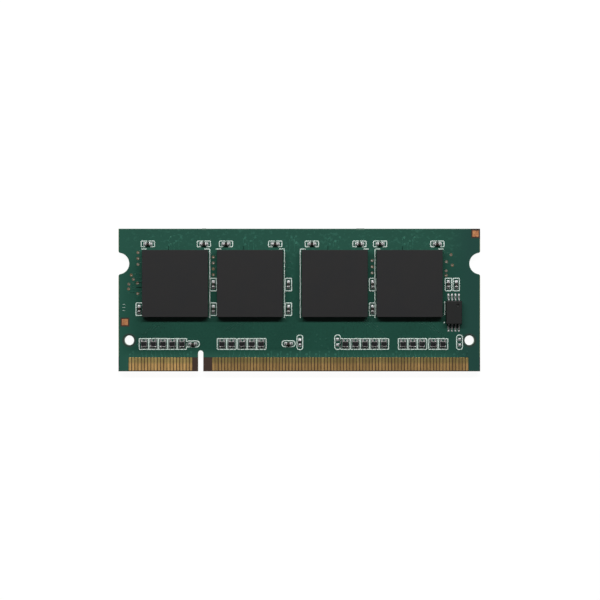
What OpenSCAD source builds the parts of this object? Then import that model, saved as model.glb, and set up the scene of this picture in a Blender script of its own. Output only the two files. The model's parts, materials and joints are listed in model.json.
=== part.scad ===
// Laptop memory module: a 200-contact small-outline board with four ball-grid memory
// packages and a settings chip on its front, and its decoupling parts on both faces.
// X runs along the contact edge, Y from the contact edge to the free edge, Z out of the
// front face. The origin is below the middle of the board, in the plane the rear parts rest on.

/* [Board] */
// Length of the board along the contact edge
board_w = 67.6; // [67:0.1:82]
// Height of the board from the contact edge to the free edge
board_h = 26.67; // [26:0.01:33]
// Thickness of the finished board, with its solder mask
board_t = 1; // [0.8:0.05:1.3]
// Thickness of each solder mask film
mask_t = 0.03; // [0.02:0.005:0.038]
// Strip of bare laminate that the mask leaves along the board's edge
mask_inset = 0.1; // [0.05:0.01:0.15]
// Room between a copper land and the edge of its mask opening
mask_gap = 0.05; // [0.03:0.01:0.06]
// Thickness of each outer laminate ply
ply_t = 0.22; // [0.06:0.01:0.25]
// Thickness of each inner copper plane
plane_t = 0.035; // [0.018:0.001:0.07]
// Distance of the planes from the board's edges
plane_inset = 0.5; // [0.3:0.05:0.8]
// Thickness of the outer copper with its plating
copper_t = 0.04; // [0.04:0.005:0.07]

/* [Cut-outs] */
// Radius of the retention notch in each short side
notch_r = 2; // [1.5:0.05:2.5]
// Height of the retention notches above the contact edge
notch_y = 20.15; // [17:0.05:21]
// Radius that rounds the mouth of each notch
notch_lip_r = 0.4; // [0.1:0.05:0.5]
// Diameter of the two locating holes
hole_d = 1.8; // [1.4:0.05:2.2]
// Distance of each locating hole from its short side
hole_x = 2; // [1.7:0.05:2.2]
// Height of the locating holes above the contact edge
hole_y = 5.8; // [5.2:0.05:7]
// Width of the voltage key slot
key_w = 1; // [0.9:0.05:1.4]
// Depth of the voltage key slot
key_depth = 3.9; // [3.2:0.05:4.2]
// Distance of the key slot from the left side
key_x = 15.35; // [15.2:0.05:16.3]

/* [Contacts] */
// Spacing of the contacts
contact_pitch = 0.6; // [0.59:0.005:0.6]
// Width of one contact
contact_w = 0.45; // [0.3:0.01:0.54]
// Length of one contact
contact_l = 2.45; // [2:0.05:2.55]
// Bare strip between the contacts and the edge
contact_rise = 0.15; // [0.05:0.05:0.25]
// Distance of the first contact's middle from the left side
contact_x = 2.15; // [2.1:0.01:2.25]
// Contacts on each face left of the key slot
short_count = 20; // [10:1:20]
// Contacts on each face right of the key slot
long_count = 80; // [40:1:80]
// Spacing of the two contacts on either side of the key slot
key_gap = 4.2; // [4:0.05:4.2]

/* [Memory packages] */
// Width of one memory package
dram_w = 12.3; // [10:0.05:12.5]
// Length of one memory package
dram_l = 12.5; // [10:0.05:12.8]
// Gap between the two packages of a pair
pair_gap = 1.65; // [1.5:0.05:1.8]
// Gap between the two pairs
middle_gap = 3.5; // [3.4:0.05:4]
// Offset of the four packages from the middle of the board
dram_shift = -1.3; // [-1.5:0.05:-1.1]
// Height of the packages' middle above the contact edge
dram_y = 16.4; // [16.2:0.05:17]
// Thickness of the package's own laminate
substrate_t = 0.26; // [0.2:0.01:0.3]
// Thickness of the moulding over the die
mould_t = 0.56; // [0.45:0.01:0.8]
// Chamfer along the moulding's top edges
mould_chamfer = 0.05; // [0.02:0.01:0.1]
// Diameter of the solder balls
ball_d = 0.45; // [0.4:0.01:0.5]
// Height of the flattened balls
ball_h = 0.33; // [0.28:0.01:0.36]
// Ball spacing across the package
ball_pitch_x = 0.8; // [0.75:0.01:0.9]
// Ball spacing along the package
ball_pitch_y = 1; // [0.8:0.01:1]
// Size of the square memory die
die_w = 8.8; // [7:0.1:9.4]
// Thickness of the memory die
die_t = 0.28; // [0.2:0.01:0.35]
// Thickness of the film that holds the die
film_t = 0.04; // [0.02:0.01:0.05]

/* [Settings chip] */
// Width of the settings chip along its row of leads
eeprom_w = 3; // [2.8:0.05:3.1]
// Length of the settings chip between its rows of leads
eeprom_l = 4.4; // [4:0.05:4.6]
// Thickness of its moulding
eeprom_h = 0.95; // [0.8:0.05:1.1]
// Gap under its moulding
eeprom_lift = 0.1; // [0.05:0.01:0.15]
// Spacing of its leads
lead_pitch = 0.65; // [0.6:0.01:0.7]
// Width of one lead
lead_w = 0.24; // [0.18:0.01:0.3]
// Thickness of one lead
lead_t = 0.13; // [0.1:0.01:0.16]
// Distance across both rows of feet
lead_span = 6.4; // [6.2:0.05:6.6]
// Gap between the last memory package and the settings chip
eeprom_gap = 0.65; // [0.6:0.05:1]
// Height of the settings chip's middle above the contact edge
eeprom_y = 11; // [10.9:0.05:11.2]

/* [Small parts] */
// Length of a capacitor or resistor
chip_l = 1; // [0.9:0.05:1.2]
// Width of a capacitor or resistor
chip_w = 0.5; // [0.45:0.05:0.6]
// Height of a capacitor
cap_h = 0.5; // [0.4:0.05:0.6]
// Height of a resistor or resistor array
res_h = 0.35; // [0.3:0.05:0.45]
// Length of a capacitor's or resistor's end terminals
chip_end = 0.25; // [0.2:0.01:0.3]
// Width of a resistor array
array_w = 1.2; // [1.15:0.05:1.3]
// Length of a resistor array
array_l = 1.05; // [1:0.05:1.2]
// Spacing of the two terminals on each side of an array
array_term_pitch = 0.76; // [0.7:0.01:0.8]
// Width of one array terminal
array_term_w = 0.36; // [0.3:0.01:0.4]
// Length of one array terminal
array_end = 0.22; // [0.18:0.01:0.25]
// Spacing of the arrays in a group
array_pitch = 1.77; // [1.75:0.01:1.8]
// Height of the arrays' middle above the contact edge
array_y = 5.1; // [5:0.05:5.2]
// Thickness of the terminals' plating
plating_t = 0.025; // [0.02:0.005:0.04]
// Thickness of the black coating over a resistor
coating_t = 0.03; // [0.02:0.005:0.04]

/* [Solder] */
// Thickness of the solder under a terminal
solder_t = 0.03; // [0.02:0.005:0.05]
// Length of the solder fillet in front of a terminal
toe_l = 0.3; // [0.2:0.01:0.32]

/* [Vias] */
// Outer diameter of a plated via's barrel
via_d = 0.34; // [0.3:0.01:0.4]
// Diameter of the hole through a via
via_hole_d = 0.2; // [0.15:0.01:0.24]
// Diameter of the ring around an open via
via_ring_d = 0.52; // [0.45:0.01:0.54]
// Distance that the planes keep from a via's barrel
via_clear = 0.13; // [0.1:0.01:0.2]
// Size of the square alignment marks
mark_w = 1.15; // [0.9:0.05:1.2]
// Width of the bare border around an alignment mark
mark_border = 0.25; // [0.1:0.05:0.3]

/* [Hidden] */
$fn = 48;
core_t = board_t - 2 * mask_t - 2 * ply_t;
z_rear = max(cap_h, res_h) + solder_t + copper_t;       // rear surface of the laminate
z_core = z_rear + ply_t;                                // rear surface of the core
z_front = z_rear + board_t - 2 * mask_t;                // front surface of the laminate
z_package = z_front + copper_t + ball_h;                // underside of a memory package
last_contact_x = contact_x + (short_count + long_count - 2) * contact_pitch + key_gap;
contact_top = contact_rise + contact_l;
window_side = 0.05;      // room beside the outermost contacts in the mask's window
window_top = 0.02;       // room above the contacts in the mask's window
land_side = 0.04;        // copper that shows on each side of a terminal
land_inner = 0.05;       // copper that shows under the inner end of a terminal
plane_rise = 0.4;        // distance of the planes above the contacts
cover = 1;               // how far a cut runs past the face that it opens

// The groups of five arrays: distance of the first from the left side,
// how many come before the wider gap, and how much wider that gap is.
array_groups = [[4.77, 5, 0], [19.35, 2, 0.27], [42.4, 1, 0.13], [53.2, 3, 0.37]];
array_count = 5;

// Insets of the two capacitors above each package from its left and right sides.
top_cap_insets = [[1, 0.85], [1.65, 1.45], [1.9, 1.5], [0.7, 0.9]];
top_cap_rise = 1.15;     // above the packages' top edge
side_cap_drop = [0.2, 4.8];   // of the capacitors beside the packages, below their middle

// Via places beside the packages, from a package's side and from the packages' middle height.
left_open = [[-0.85, 5.8], [-0.85, 4.7], [-0.85, 3.6], [-2.1, 1.6], [-1.7, 0.8], [-0.95, 0.1],
             [-2.55, -0.1], [-2.6, -1], [-0.9, -1.85]];
left_covered = [[-1.35, 1.7], [-1.75, -0.1], [-1.6, -1], [-2.6, -1.9], [-0.9, -2.5]];
right_open = [[1.65, 5.4], [0.8, 4.1], [1.9, 3.45], [0.75, 2.4], [0.75, 1.55]];
middle_covered = [[0.7, 8.8], [-0.15, 8.6], [0.8, 7.7], [-1.05, 7], [-1.1, 6.1], [-1.1, 3.5],
                  [0, 3.7], [0, 2.7], [-1.1, 2.35], [0, 1.4]];
fan_covered = [[-0.9, 8.6], [1, 8.6], [-0.9, 7.35], [0.1, 7.95]];
// Covered vias above the contacts, from the left side and from the contact edge.
lower_covered = [[29.3, 6.8], [35.6, 5.85], [36.9, 5.45], [37.05, 6.75], [37.7, 5.9],
                 [38, 4.75], [38.8, 6], [39.2, 4.2]];
// Break-off scars in the free edge: distance from the left side and width.
tab_scars = [[16, 0.8], [45.2, 1.6]];
scar_depth = 0.25;

// ---- places -------------------------------------------------------------------------------

function from_left(x) = x - board_w / 2;
function from_edge(y) = y - board_h / 2;

// Middle of package i, counted from the left.
function dram_x(i) = dram_shift + (i < 2 ? -1 : 1) * (middle_gap + dram_w) / 2
    + (i == 0 ? -1 : i == 3 ? 1 : 0) * (dram_w + pair_gap);
first_side = dram_x(0) - dram_w / 2;
last_side = dram_x(3) + dram_w / 2;
package_y = from_edge(dram_y);

// Each small part is [x, y, turn], with its length along X where turn is 0.
top_caps = [for (i = [0 : 3], side = [0, 1])
    [dram_x(i) + (side == 0 ? top_cap_insets[i][0] - dram_w / 2 : dram_w / 2 - top_cap_insets[i][1]),
     package_y + dram_l / 2 + top_cap_rise, 0]];
bottom_caps = [for (p = top_caps) [p[0], 2 * package_y - p[1], 0]];
pair_caps = [for (i = [0, 2], drop = side_cap_drop)
    [(dram_x(i) + dram_x(i + 1)) / 2 + 0.1, package_y - drop, 90]];
middle_caps = [for (drop = side_cap_drop) [dram_x(1) + dram_w / 2 + 1.02, package_y - drop, 90]];
end_caps = [[first_side - 0.63, package_y - side_cap_drop[1], 90],
            [last_side + 1.15, package_y - side_cap_drop[0], 90],
            [last_side + 2.63, package_y - side_cap_drop[0], 90]];
lower_caps = [[from_left(13.9), from_edge(array_y), 0], [from_left(31.78), from_edge(5.15), 0]];
front_caps = concat(top_caps, pair_caps, middle_caps, end_caps, lower_caps);
rear_caps = concat(top_caps, bottom_caps);
resistors = [[from_left(33.9), from_edge(5.4), 90]];
empty_places = [[from_left(40.95), from_edge(5.43), 90], [from_left(63.75), from_edge(5.42), 90]];
arrays = [for (g = array_groups, i = [0 : array_count - 1])
    [from_left(g[0] + i * array_pitch + (i >= g[1] ? g[2] : 0)), from_edge(array_y), 0]];
eeprom_x = last_side + eeprom_gap + eeprom_w / 2;

beside_left = [first_side, package_y];
beside_right = [last_side, package_y];
beside_middle = [(dram_x(1) + dram_x(2)) / 2, package_y];
open_vias = concat(
    [for (v = left_open) beside_left + v],
    [for (v = right_open) beside_right + v],
    [for (k = [0 : 3]) [(dram_x(0) + dram_x(1)) / 2 + 0.1, package_y + 1.65 + 1.1 * k]],
    [for (k = [0 : 2]) [(dram_x(2) + dram_x(3)) / 2 + 0.05, package_y + 2 + 1.15 * k]]);
covered_vias = concat(
    [for (v = left_covered) beside_left + v],
    [for (v = middle_covered) beside_middle + v],
    [for (i = [0 : 3], v = fan_covered) [dram_x(i), package_y + (dram_l - 12.5) / 2] + v],
    [for (v = lower_covered) [from_left(v[0]), from_edge(v[1])]]);
marks = [[board_w / 2 - 0.85, board_h / 2 - 0.95], [from_left(1.2), from_edge(9.2)]];

module place(list) {
    for (p = list) translate([p[0], p[1], 0]) rotate([0, 0, p[2]]) children();
}

// Parts are drawn upwards from the underside of their terminals.
module on_front() {
    translate([0, 0, z_front + copper_t + solder_t]) children();
}

module on_rear() {
    translate([0, 0, z_rear - copper_t - solder_t]) mirror([0, 0, 1]) children();
}

// ---- flat outlines ------------------------------------------------------------------------

// Cut for one retention notch, centred on the left side, with the rounded mouth of the board.
module notch_shape(inset) {
    lip_y = sqrt(pow(notch_r + notch_lip_r, 2) - pow(notch_lip_r, 2));
    circle(r = notch_r + inset);
    if (inset == 0)
        for (end = [0, 1]) mirror([0, end]) difference() {
            polygon([[0, 0], [-cover, 0], [-cover, lip_y], [notch_lip_r, lip_y]]);
            translate([notch_lip_r, lip_y]) circle(r = notch_lip_r);
        }
}

module key_shape(inset) {
    width = key_w + 2 * inset;
    round_y = key_depth - key_w / 2;
    translate([0, round_y]) circle(d = width);
    translate([-width / 2, -cover]) square([width, round_y + cover]);
}

// The board seen from the front, drawn in by inset from every edge and cut-out.
module board_shape(inset = 0) {
    difference() {
        square([board_w - 2 * inset, board_h - 2 * inset], center = true);
        for (side = [0, 1]) mirror([side, 0]) {
            translate([-board_w / 2, from_edge(notch_y)]) notch_shape(inset);
            translate([from_left(hole_x), from_edge(hole_y)]) circle(d = hole_d + 2 * inset);
        }
        translate([from_left(key_x), -board_h / 2]) key_shape(inset);
    }
}

module via_shapes(d) {
    for (v = concat(open_vias, covered_vias)) translate(v) circle(d = d);
}

// One rectangular land under a terminal of this width, reaching out from x = 0 by the toe.
module land_shape(width, end, grow) {
    translate([-end - land_inner - grow, -width / 2 - land_side - grow])
        square([end + land_inner + toe_l + land_side + 2 * grow, width + 2 * (land_side + grow)]);
}

module chip_land_shapes(grow) {
    for (end = [0, 1]) mirror([end, 0]) translate([chip_l / 2, 0]) land_shape(chip_w, chip_end, grow);
}

module array_land_shapes(grow) {
    for (turn = [-90, 90], side = [-1, 1]) translate([side * array_term_pitch / 2, 0])
        rotate([0, 0, turn]) translate([array_l / 2, 0]) land_shape(array_term_w, array_end, grow);
}

module eeprom_land_shapes(grow) {
    translate([eeprom_x, from_edge(eeprom_y)])
        for (turn = [-90, 90], k = [-1.5 : 1.5]) translate([k * lead_pitch, 0])
            rotate([0, 0, turn]) translate([lead_span / 2, 0]) land_shape(lead_w, foot_l, grow);
}

module ball_places() {
    for (column = [2, 3, 4], side = [-1, 1], row = [-4.5 : 4.5])
        translate([side * column * ball_pitch_x, row * ball_pitch_y]) children();
}

module ball_land_shapes(grow) {
    for (i = [0 : 3]) translate([dram_x(i), package_y]) ball_places() circle(d = ball_d - 0.05 + 2 * grow);
}

module front_land_shapes(grow) {
    place(concat(front_caps, resistors, empty_places)) chip_land_shapes(grow);
    place(arrays) array_land_shapes(grow);
    eeprom_land_shapes(grow);
    ball_land_shapes(grow);
}

module rear_land_shapes(grow) {
    place(rear_caps) chip_land_shapes(grow);
    place(arrays) array_land_shapes(grow);
}

// What both masks leave open: the contacts, the alignment marks, the scars and the open vias.
module mask_openings() {
    window_left = from_left(contact_x - contact_w / 2 - window_side);
    window_right = from_left(last_contact_x + contact_w / 2 + window_side);
    translate([window_left, -board_h / 2 - cover])
        square([window_right - window_left, contact_top + window_top + cover]);
    for (m = marks) translate(m) square(mark_w + 2 * mark_border, center = true);
    for (s = tab_scars) translate([from_left(s[0]), board_h / 2])
        square([s[1], 2 * scar_depth], center = true);
    for (v = open_vias) translate(v) circle(d = via_ring_d + 2 * mask_gap);
}

module plane_shape() {
    difference() {
        intersection() {
            board_shape(plane_inset);
            translate([0, contact_top + plane_rise]) square([board_w, board_h], center = true);
        }
        via_shapes(via_d + 2 * via_clear);
    }
}

// ---- board --------------------------------------------------------------------------------

module laminate(z, t) {
    translate([0, 0, z]) linear_extrude(t) difference() {
        board_shape();
        via_shapes(via_d);
    }
}

module ground_plane() {
    color("peru") translate([0, 0, z_core + core_t - plane_t]) linear_extrude(plane_t) plane_shape();
}

module power_plane() {
    color("peru") translate([0, 0, z_core]) linear_extrude(plane_t) plane_shape();
}

module core_laminate() {
    color("darkkhaki") difference() {
        laminate(z_core, core_t);
        ground_plane();
        power_plane();
    }
}

module front_ply() {
    color("darkkhaki") laminate(z_front - ply_t, ply_t);
}

module rear_ply() {
    color("darkkhaki") laminate(z_rear, ply_t);
}

module front_solder_mask() {
    color("seagreen") translate([0, 0, z_front]) linear_extrude(mask_t) difference() {
        board_shape(mask_inset);
        mask_openings();
        front_land_shapes(mask_gap);
    }
}

module rear_solder_mask() {
    color("seagreen") translate([0, 0, z_rear - mask_t]) linear_extrude(mask_t) difference() {
        board_shape(mask_inset);
        mask_openings();
        rear_land_shapes(mask_gap);
    }
}

module plated_vias() {
    laminate_t = z_front - z_rear;
    color("goldenrod") {
        for (v = open_vias) translate([v[0], v[1], z_rear - copper_t]) difference() {
            union() {
                cylinder(d = via_d, h = laminate_t + 2 * copper_t);
                cylinder(d = via_ring_d, h = copper_t);
                translate([0, 0, laminate_t + copper_t]) cylinder(d = via_ring_d, h = copper_t);
            }
            translate([0, 0, -cover]) cylinder(d = via_hole_d, h = laminate_t + 2 * cover);
        }
        for (v = covered_vias) translate([v[0], v[1], z_rear]) difference() {
            cylinder(d = via_d, h = laminate_t);
            translate([0, 0, -cover]) cylinder(d = via_hole_d, h = laminate_t + 2 * cover);
        }
    }
}

// A row of contacts whose copper starts at height z, the first at x from the left side.
module contact_row(z, x, count) {
    color("gold") for (k = [0 : count - 1])
        translate([from_left(x + k * contact_pitch) - contact_w / 2, from_edge(contact_rise), z])
            cube([contact_w, contact_l, copper_t]);
}

module short_contacts(z) {
    contact_row(z, contact_x, short_count);
}

module long_contacts(z) {
    contact_row(z, contact_x + (short_count - 1) * contact_pitch + key_gap, long_count);
}

module alignment_marks() {
    color("chocolate") for (z = [z_front, z_rear - copper_t], m = marks)
        translate([m[0], m[1], z]) linear_extrude(copper_t) square(mark_w, center = true);
}

module front_lands() {
    color("darkgoldenrod") translate([0, 0, z_front]) linear_extrude(copper_t) front_land_shapes(0);
}

module rear_lands() {
    color("darkgoldenrod") translate([0, 0, z_rear - copper_t]) linear_extrude(copper_t)
        rear_land_shapes(0);
}

// ---- solder -------------------------------------------------------------------------------

// Solder under a terminal that ends at x = 0, with a concave fillet that climbs its end.
module solder_foot(width, end, climb) {
    fillet = [for (a = [0 : 15 : 90])
        [toe_l * (1 - sin(a)), (climb + solder_t) * (1 - cos(a)) - solder_t]];
    rotate([90, 0, 0]) linear_extrude(width, center = true)
        polygon(concat([[-end, 0], [-end, -solder_t]], fillet, [[0, 0]]));
}

module chip_solder(climb) {
    for (end = [0, 1]) mirror([end, 0, 0]) translate([chip_l / 2, 0, 0])
        solder_foot(chip_w, chip_end, climb);
}

module array_solder() {
    for (turn = [-90, 90], side = [-1, 1]) translate([side * array_term_pitch / 2, 0, 0])
        rotate([0, 0, turn]) translate([array_l / 2, 0, 0])
            solder_foot(array_term_w, array_end, res_h * 0.6);
}

module eeprom_solder() {
    translate([eeprom_x, from_edge(eeprom_y), 0]) for (turn = [-90, 90], k = [-1.5 : 1.5])
        translate([k * lead_pitch, 0, 0]) rotate([0, 0, turn]) translate([lead_span / 2, 0, 0])
            solder_foot(lead_w, foot_l, lead_t * 0.8);
}

module front_solder() {
    color("silver") on_front() {
        place(front_caps) chip_solder(cap_h * 0.55);
        place(resistors) chip_solder(res_h * 0.7);
        place(arrays) array_solder();
        eeprom_solder();
    }
}

module rear_solder() {
    color("silver") on_rear() {
        place(rear_caps) chip_solder(cap_h * 0.55);
        place(arrays) array_solder();
    }
}

// ---- memory packages ----------------------------------------------------------------------

// A block on z = 0 whose top edges are chamfered, as two crossed prisms.
module chamfered_block(w, l, h, c) {
    intersection() {
        rotate([90, 0, 0]) linear_extrude(l, center = true)
            polygon([[-w / 2, 0], [w / 2, 0], [w / 2, h - c], [w / 2 - c, h], [c - w / 2, h], [-w / 2, h - c]]);
        rotate([90, 0, 90]) linear_extrude(w, center = true)
            polygon([[-l / 2, 0], [l / 2, 0], [l / 2, h - c], [l / 2 - c, h], [c - l / 2, h], [-l / 2, h - c]]);
    }
}

module centred_block(w, l, h) {
    translate([-w / 2, -l / 2, 0]) cube([w, l, h]);
}

module at_package(i, z) {
    translate([dram_x(i), package_y, z]) children();
}

module dram_moulding(i) {
    color("dimgray") at_package(i, z_package + substrate_t) difference() {
        chamfered_block(dram_w, dram_l, mould_t, mould_chamfer);
        centred_block(die_w, die_w, film_t + die_t);
    }
}

module dram_substrate(i) {
    color("darkolivegreen") at_package(i, z_package) centred_block(dram_w, dram_l, substrate_t);
}

module dram_die_film(i) {
    color("khaki") at_package(i, z_package + substrate_t) centred_block(die_w, die_w, film_t);
}

module dram_die(i) {
    color("slategray") at_package(i, z_package + substrate_t + film_t)
        centred_block(die_w, die_w, die_t);
}

module dram_balls(i) {
    color("lightgray") at_package(i, z_package - ball_h) ball_places() intersection() {
        translate([0, 0, ball_h / 2]) sphere(d = ball_d);
        centred_block(ball_d, ball_d, ball_h);
    }
}

// ---- settings chip ------------------------------------------------------------------------

lead_bend = 0.15;                                   // bend radius along a lead's middle
lead_z = eeprom_lift + eeprom_h / 2;                // middle height of a lead where it leaves
lead_out = eeprom_l / 2 + 0.14;                     // where the first bend starts
foot_l = lead_span / 2 - lead_out - 2 * lead_bend;  // flat length of a foot
lead_in = eeprom_l / 2 - 0.8;                       // inner end of a lead
paddle_w = eeprom_w - 1.3;
paddle_l = 2 * lead_in - 0.5;
eeprom_die_h = 0.22;
eeprom_draft = 0.1;

function arc(cx, cy, r, from, to) =
    [for (k = [0 : 4]) [cx + r * cos(from + (to - from) * k / 4), cy + r * sin(from + (to - from) * k / 4)]];

// One gull-wing lead, from inside the moulding out to its foot along X.
module lead() {
    half = lead_t / 2;
    down_x = lead_out + 2 * lead_bend;
    rotate([90, 0, 0]) linear_extrude(lead_w, center = true) polygon(concat(
        [[lead_in, lead_z + half]],
        arc(lead_out, lead_z - lead_bend, lead_bend + half, 90, 0),
        arc(down_x, half + lead_bend, lead_bend - half, 180, 270),
        [[lead_span / 2, lead_t], [lead_span / 2, 0]],
        arc(down_x, half + lead_bend, lead_bend + half, 270, 180),
        arc(lead_out, lead_z - lead_bend, lead_bend - half, 0, 90),
        [[lead_in, lead_z - half]]));
}

module at_eeprom() {
    on_front() translate([eeprom_x, from_edge(eeprom_y), 0]) children();
}

module eeprom_leads() {
    color("silver") at_eeprom() for (turn = [-90, 90], k = [-1.5 : 1.5])
        translate([k * lead_pitch, 0, 0]) rotate([0, 0, turn]) lead();
}

module eeprom_paddle() {
    color("silver") at_eeprom() translate([0, 0, lead_z - lead_t / 2])
        centred_block(paddle_w, paddle_l, lead_t);
}

module eeprom_die() {
    color("slategray") at_eeprom() translate([0, 0, lead_z + lead_t / 2])
        centred_block(paddle_w - 0.4, paddle_l - 0.4, eeprom_die_h);
}

// Hexagon across the moulding, widest where the leads leave.
function draft_profile(width) = [
    [eeprom_draft - width / 2, 0], [width / 2 - eeprom_draft, 0], [width / 2, eeprom_h / 2],
    [width / 2 - eeprom_draft, eeprom_h], [eeprom_draft - width / 2, eeprom_h], [-width / 2, eeprom_h / 2]];

module eeprom_moulding() {
    color("dimgray") difference() {
        at_eeprom() translate([0, 0, eeprom_lift]) intersection() {
            rotate([90, 0, 0]) linear_extrude(eeprom_l, center = true) polygon(draft_profile(eeprom_w));
            rotate([90, 0, 90]) linear_extrude(eeprom_w, center = true) polygon(draft_profile(eeprom_l));
        }
        eeprom_leads();
        eeprom_paddle();
        eeprom_die();
    }
}

// ---- capacitors, resistors and arrays -----------------------------------------------------

// Ceramic of a two-ended part: full size in the middle, and thinner where the plating wraps it.
// coat is the thickness that a coating takes from its top.
module chip_ceramic(h, coat = 0) {
    translate([0, 0, plating_t])
        centred_block(chip_l - 2 * plating_t, chip_w - 2 * plating_t, h - plating_t - max(coat, plating_t));
    centred_block(chip_l - 2 * chip_end, chip_w, h - coat);
}

module chip_terminals(h, coat = 0) {
    for (end = [0, 1]) mirror([end, 0, 0]) difference() {
        translate([chip_l / 2 - chip_end, -chip_w / 2, 0]) cube([chip_end, chip_w, h]);
        chip_ceramic(h, coat);
    }
}

module chip_coating() {
    translate([0, 0, res_h - coating_t])
        centred_block(chip_l - 2 * chip_end, chip_w, coating_t);
}

module array_terminal_blocks() {
    for (end = [0, 1], side = [-1, 1]) mirror([0, end, 0])
        translate([side * array_term_pitch / 2 - array_term_w / 2, array_l / 2 - array_end, 0])
            cube([array_term_w, array_end, res_h]);
}

// Ceramic of a two-resistor array, with a half-round scallop between its terminals.
module array_ceramic() {
    difference() {
        union() {
            translate([0, 0, plating_t]) centred_block(
                array_w, array_l - 2 * plating_t, res_h - plating_t - max(coating_t, plating_t));
            centred_block(array_w, array_l - 2 * array_end, res_h - coating_t);
        }
        for (end = [-1, 1]) translate([0, end * array_l / 2, -cover])
            cylinder(d = array_term_pitch - array_term_w - 0.12, h = res_h + 2 * cover);
    }
}

module array_terminals() {
    difference() {
        array_terminal_blocks();
        array_ceramic();
    }
}

module array_coating() {
    translate([0, 0, res_h - coating_t]) centred_block(array_w, array_l - 2 * array_end, coating_t);
}

// ---- drawing ------------------------------------------------------------------------------

core_laminate();
front_ply();
rear_ply();
ground_plane();
power_plane();
front_solder_mask();
rear_solder_mask();
plated_vias();
short_contacts(z_front);  // front_short_contacts
long_contacts(z_front);  // front_long_contacts
short_contacts(z_rear - copper_t);  // rear_short_contacts
long_contacts(z_rear - copper_t);  // rear_long_contacts
alignment_marks();
front_lands();
rear_lands();
front_solder();
rear_solder();
dram_moulding(0);  // dram_1_moulding
dram_substrate(0);  // dram_1_substrate
dram_die(0);  // dram_1_die
dram_die_film(0);  // dram_1_die_film
dram_balls(0);  // dram_1_balls
dram_moulding(1);  // dram_2_moulding
dram_substrate(1);  // dram_2_substrate
dram_die(1);  // dram_2_die
dram_die_film(1);  // dram_2_die_film
dram_balls(1);  // dram_2_balls
dram_moulding(2);  // dram_3_moulding
dram_substrate(2);  // dram_3_substrate
dram_die(2);  // dram_3_die
dram_die_film(2);  // dram_3_die_film
dram_balls(2);  // dram_3_balls
dram_moulding(3);  // dram_4_moulding
dram_substrate(3);  // dram_4_substrate
dram_die(3);  // dram_4_die
dram_die_film(3);  // dram_4_die_film
dram_balls(3);  // dram_4_balls
eeprom_moulding();
eeprom_leads();
eeprom_paddle();
eeprom_die();
color("whitesmoke") on_front() place(arrays) array_ceramic();  // front_array_ceramics
color("black") on_front() place(arrays) array_coating();  // front_array_coatings
color("silver") on_front() place(arrays) array_terminals();  // front_array_terminals
color("rosybrown") on_front() place(front_caps) chip_ceramic(cap_h);  // front_capacitor_ceramics
color("silver") on_front() place(front_caps) chip_terminals(cap_h);  // front_capacitor_terminals
color("whitesmoke") on_front() place(resistors) chip_ceramic(res_h, coating_t);  // resistor_ceramic
color("black") on_front() place(resistors) chip_coating();  // resistor_coating
color("silver") on_front() place(resistors) chip_terminals(res_h, coating_t);  // resistor_terminals
color("whitesmoke") on_rear() place(arrays) array_ceramic();  // rear_array_ceramics
color("black") on_rear() place(arrays) array_coating();  // rear_array_coatings
color("silver") on_rear() place(arrays) array_terminals();  // rear_array_terminals
color("rosybrown") on_rear() place(rear_caps) chip_ceramic(cap_h);  // rear_capacitor_ceramics
color("silver") on_rear() place(rear_caps) chip_terminals(cap_h);  // rear_capacitor_terminals
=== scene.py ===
"""Looks of a laptop memory module: finishes, printed outlines, buried traces and rounded parts."""

import json
import math
import random

import bmesh
import bpy
from bpy.props import FloatProperty, FloatVectorProperty, IntProperty, PointerProperty
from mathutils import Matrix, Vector


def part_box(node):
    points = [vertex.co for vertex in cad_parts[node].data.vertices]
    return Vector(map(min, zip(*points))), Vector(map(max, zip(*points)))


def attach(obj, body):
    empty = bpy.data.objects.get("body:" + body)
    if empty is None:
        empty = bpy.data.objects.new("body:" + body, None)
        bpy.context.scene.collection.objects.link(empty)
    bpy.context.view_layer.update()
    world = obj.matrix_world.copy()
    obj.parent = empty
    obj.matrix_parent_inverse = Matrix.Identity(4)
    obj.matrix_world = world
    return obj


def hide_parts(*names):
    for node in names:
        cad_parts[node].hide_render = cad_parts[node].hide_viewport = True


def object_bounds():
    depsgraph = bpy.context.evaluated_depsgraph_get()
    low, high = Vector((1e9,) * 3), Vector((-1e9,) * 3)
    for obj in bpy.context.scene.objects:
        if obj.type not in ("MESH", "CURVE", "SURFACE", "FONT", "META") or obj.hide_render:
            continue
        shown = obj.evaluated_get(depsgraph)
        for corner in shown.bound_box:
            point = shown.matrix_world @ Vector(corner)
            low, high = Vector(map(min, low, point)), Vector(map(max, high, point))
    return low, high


bl_info = {
    "name": "Memory module",
    "version": (1, 0, 0),
    "blender": (4, 5, 0),
    "location": "3D View > Sidebar > Module",
    "description": "Dresses a laptop memory module: board, contacts, packages and small parts",
    "category": "Object",
}

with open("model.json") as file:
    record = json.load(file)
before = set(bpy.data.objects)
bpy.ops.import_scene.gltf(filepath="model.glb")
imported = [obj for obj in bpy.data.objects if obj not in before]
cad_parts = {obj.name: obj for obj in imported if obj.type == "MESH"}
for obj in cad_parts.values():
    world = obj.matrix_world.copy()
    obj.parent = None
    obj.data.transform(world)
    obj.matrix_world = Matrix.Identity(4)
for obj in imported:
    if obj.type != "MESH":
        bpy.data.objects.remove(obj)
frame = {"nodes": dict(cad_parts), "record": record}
CAD_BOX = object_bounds()

MM = 0.001
BODY = "root"
FRONT, REAR = "front", "rear"
SIDES = (FRONT, REAR)
OUT = {FRONT: 1, REAR: -1}
FLIP = {FRONT: 0.0, REAR: math.pi}
ROWS = ("short", "long")
PACKAGE_NUMBERS = (1, 2, 3, 4)
WELD = 0.0001 * MM
TRACE_GAP = 0.03 * MM           # between a land and the end of its trace


# ---- reading the frame ----------------------------------------------------------------------


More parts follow.
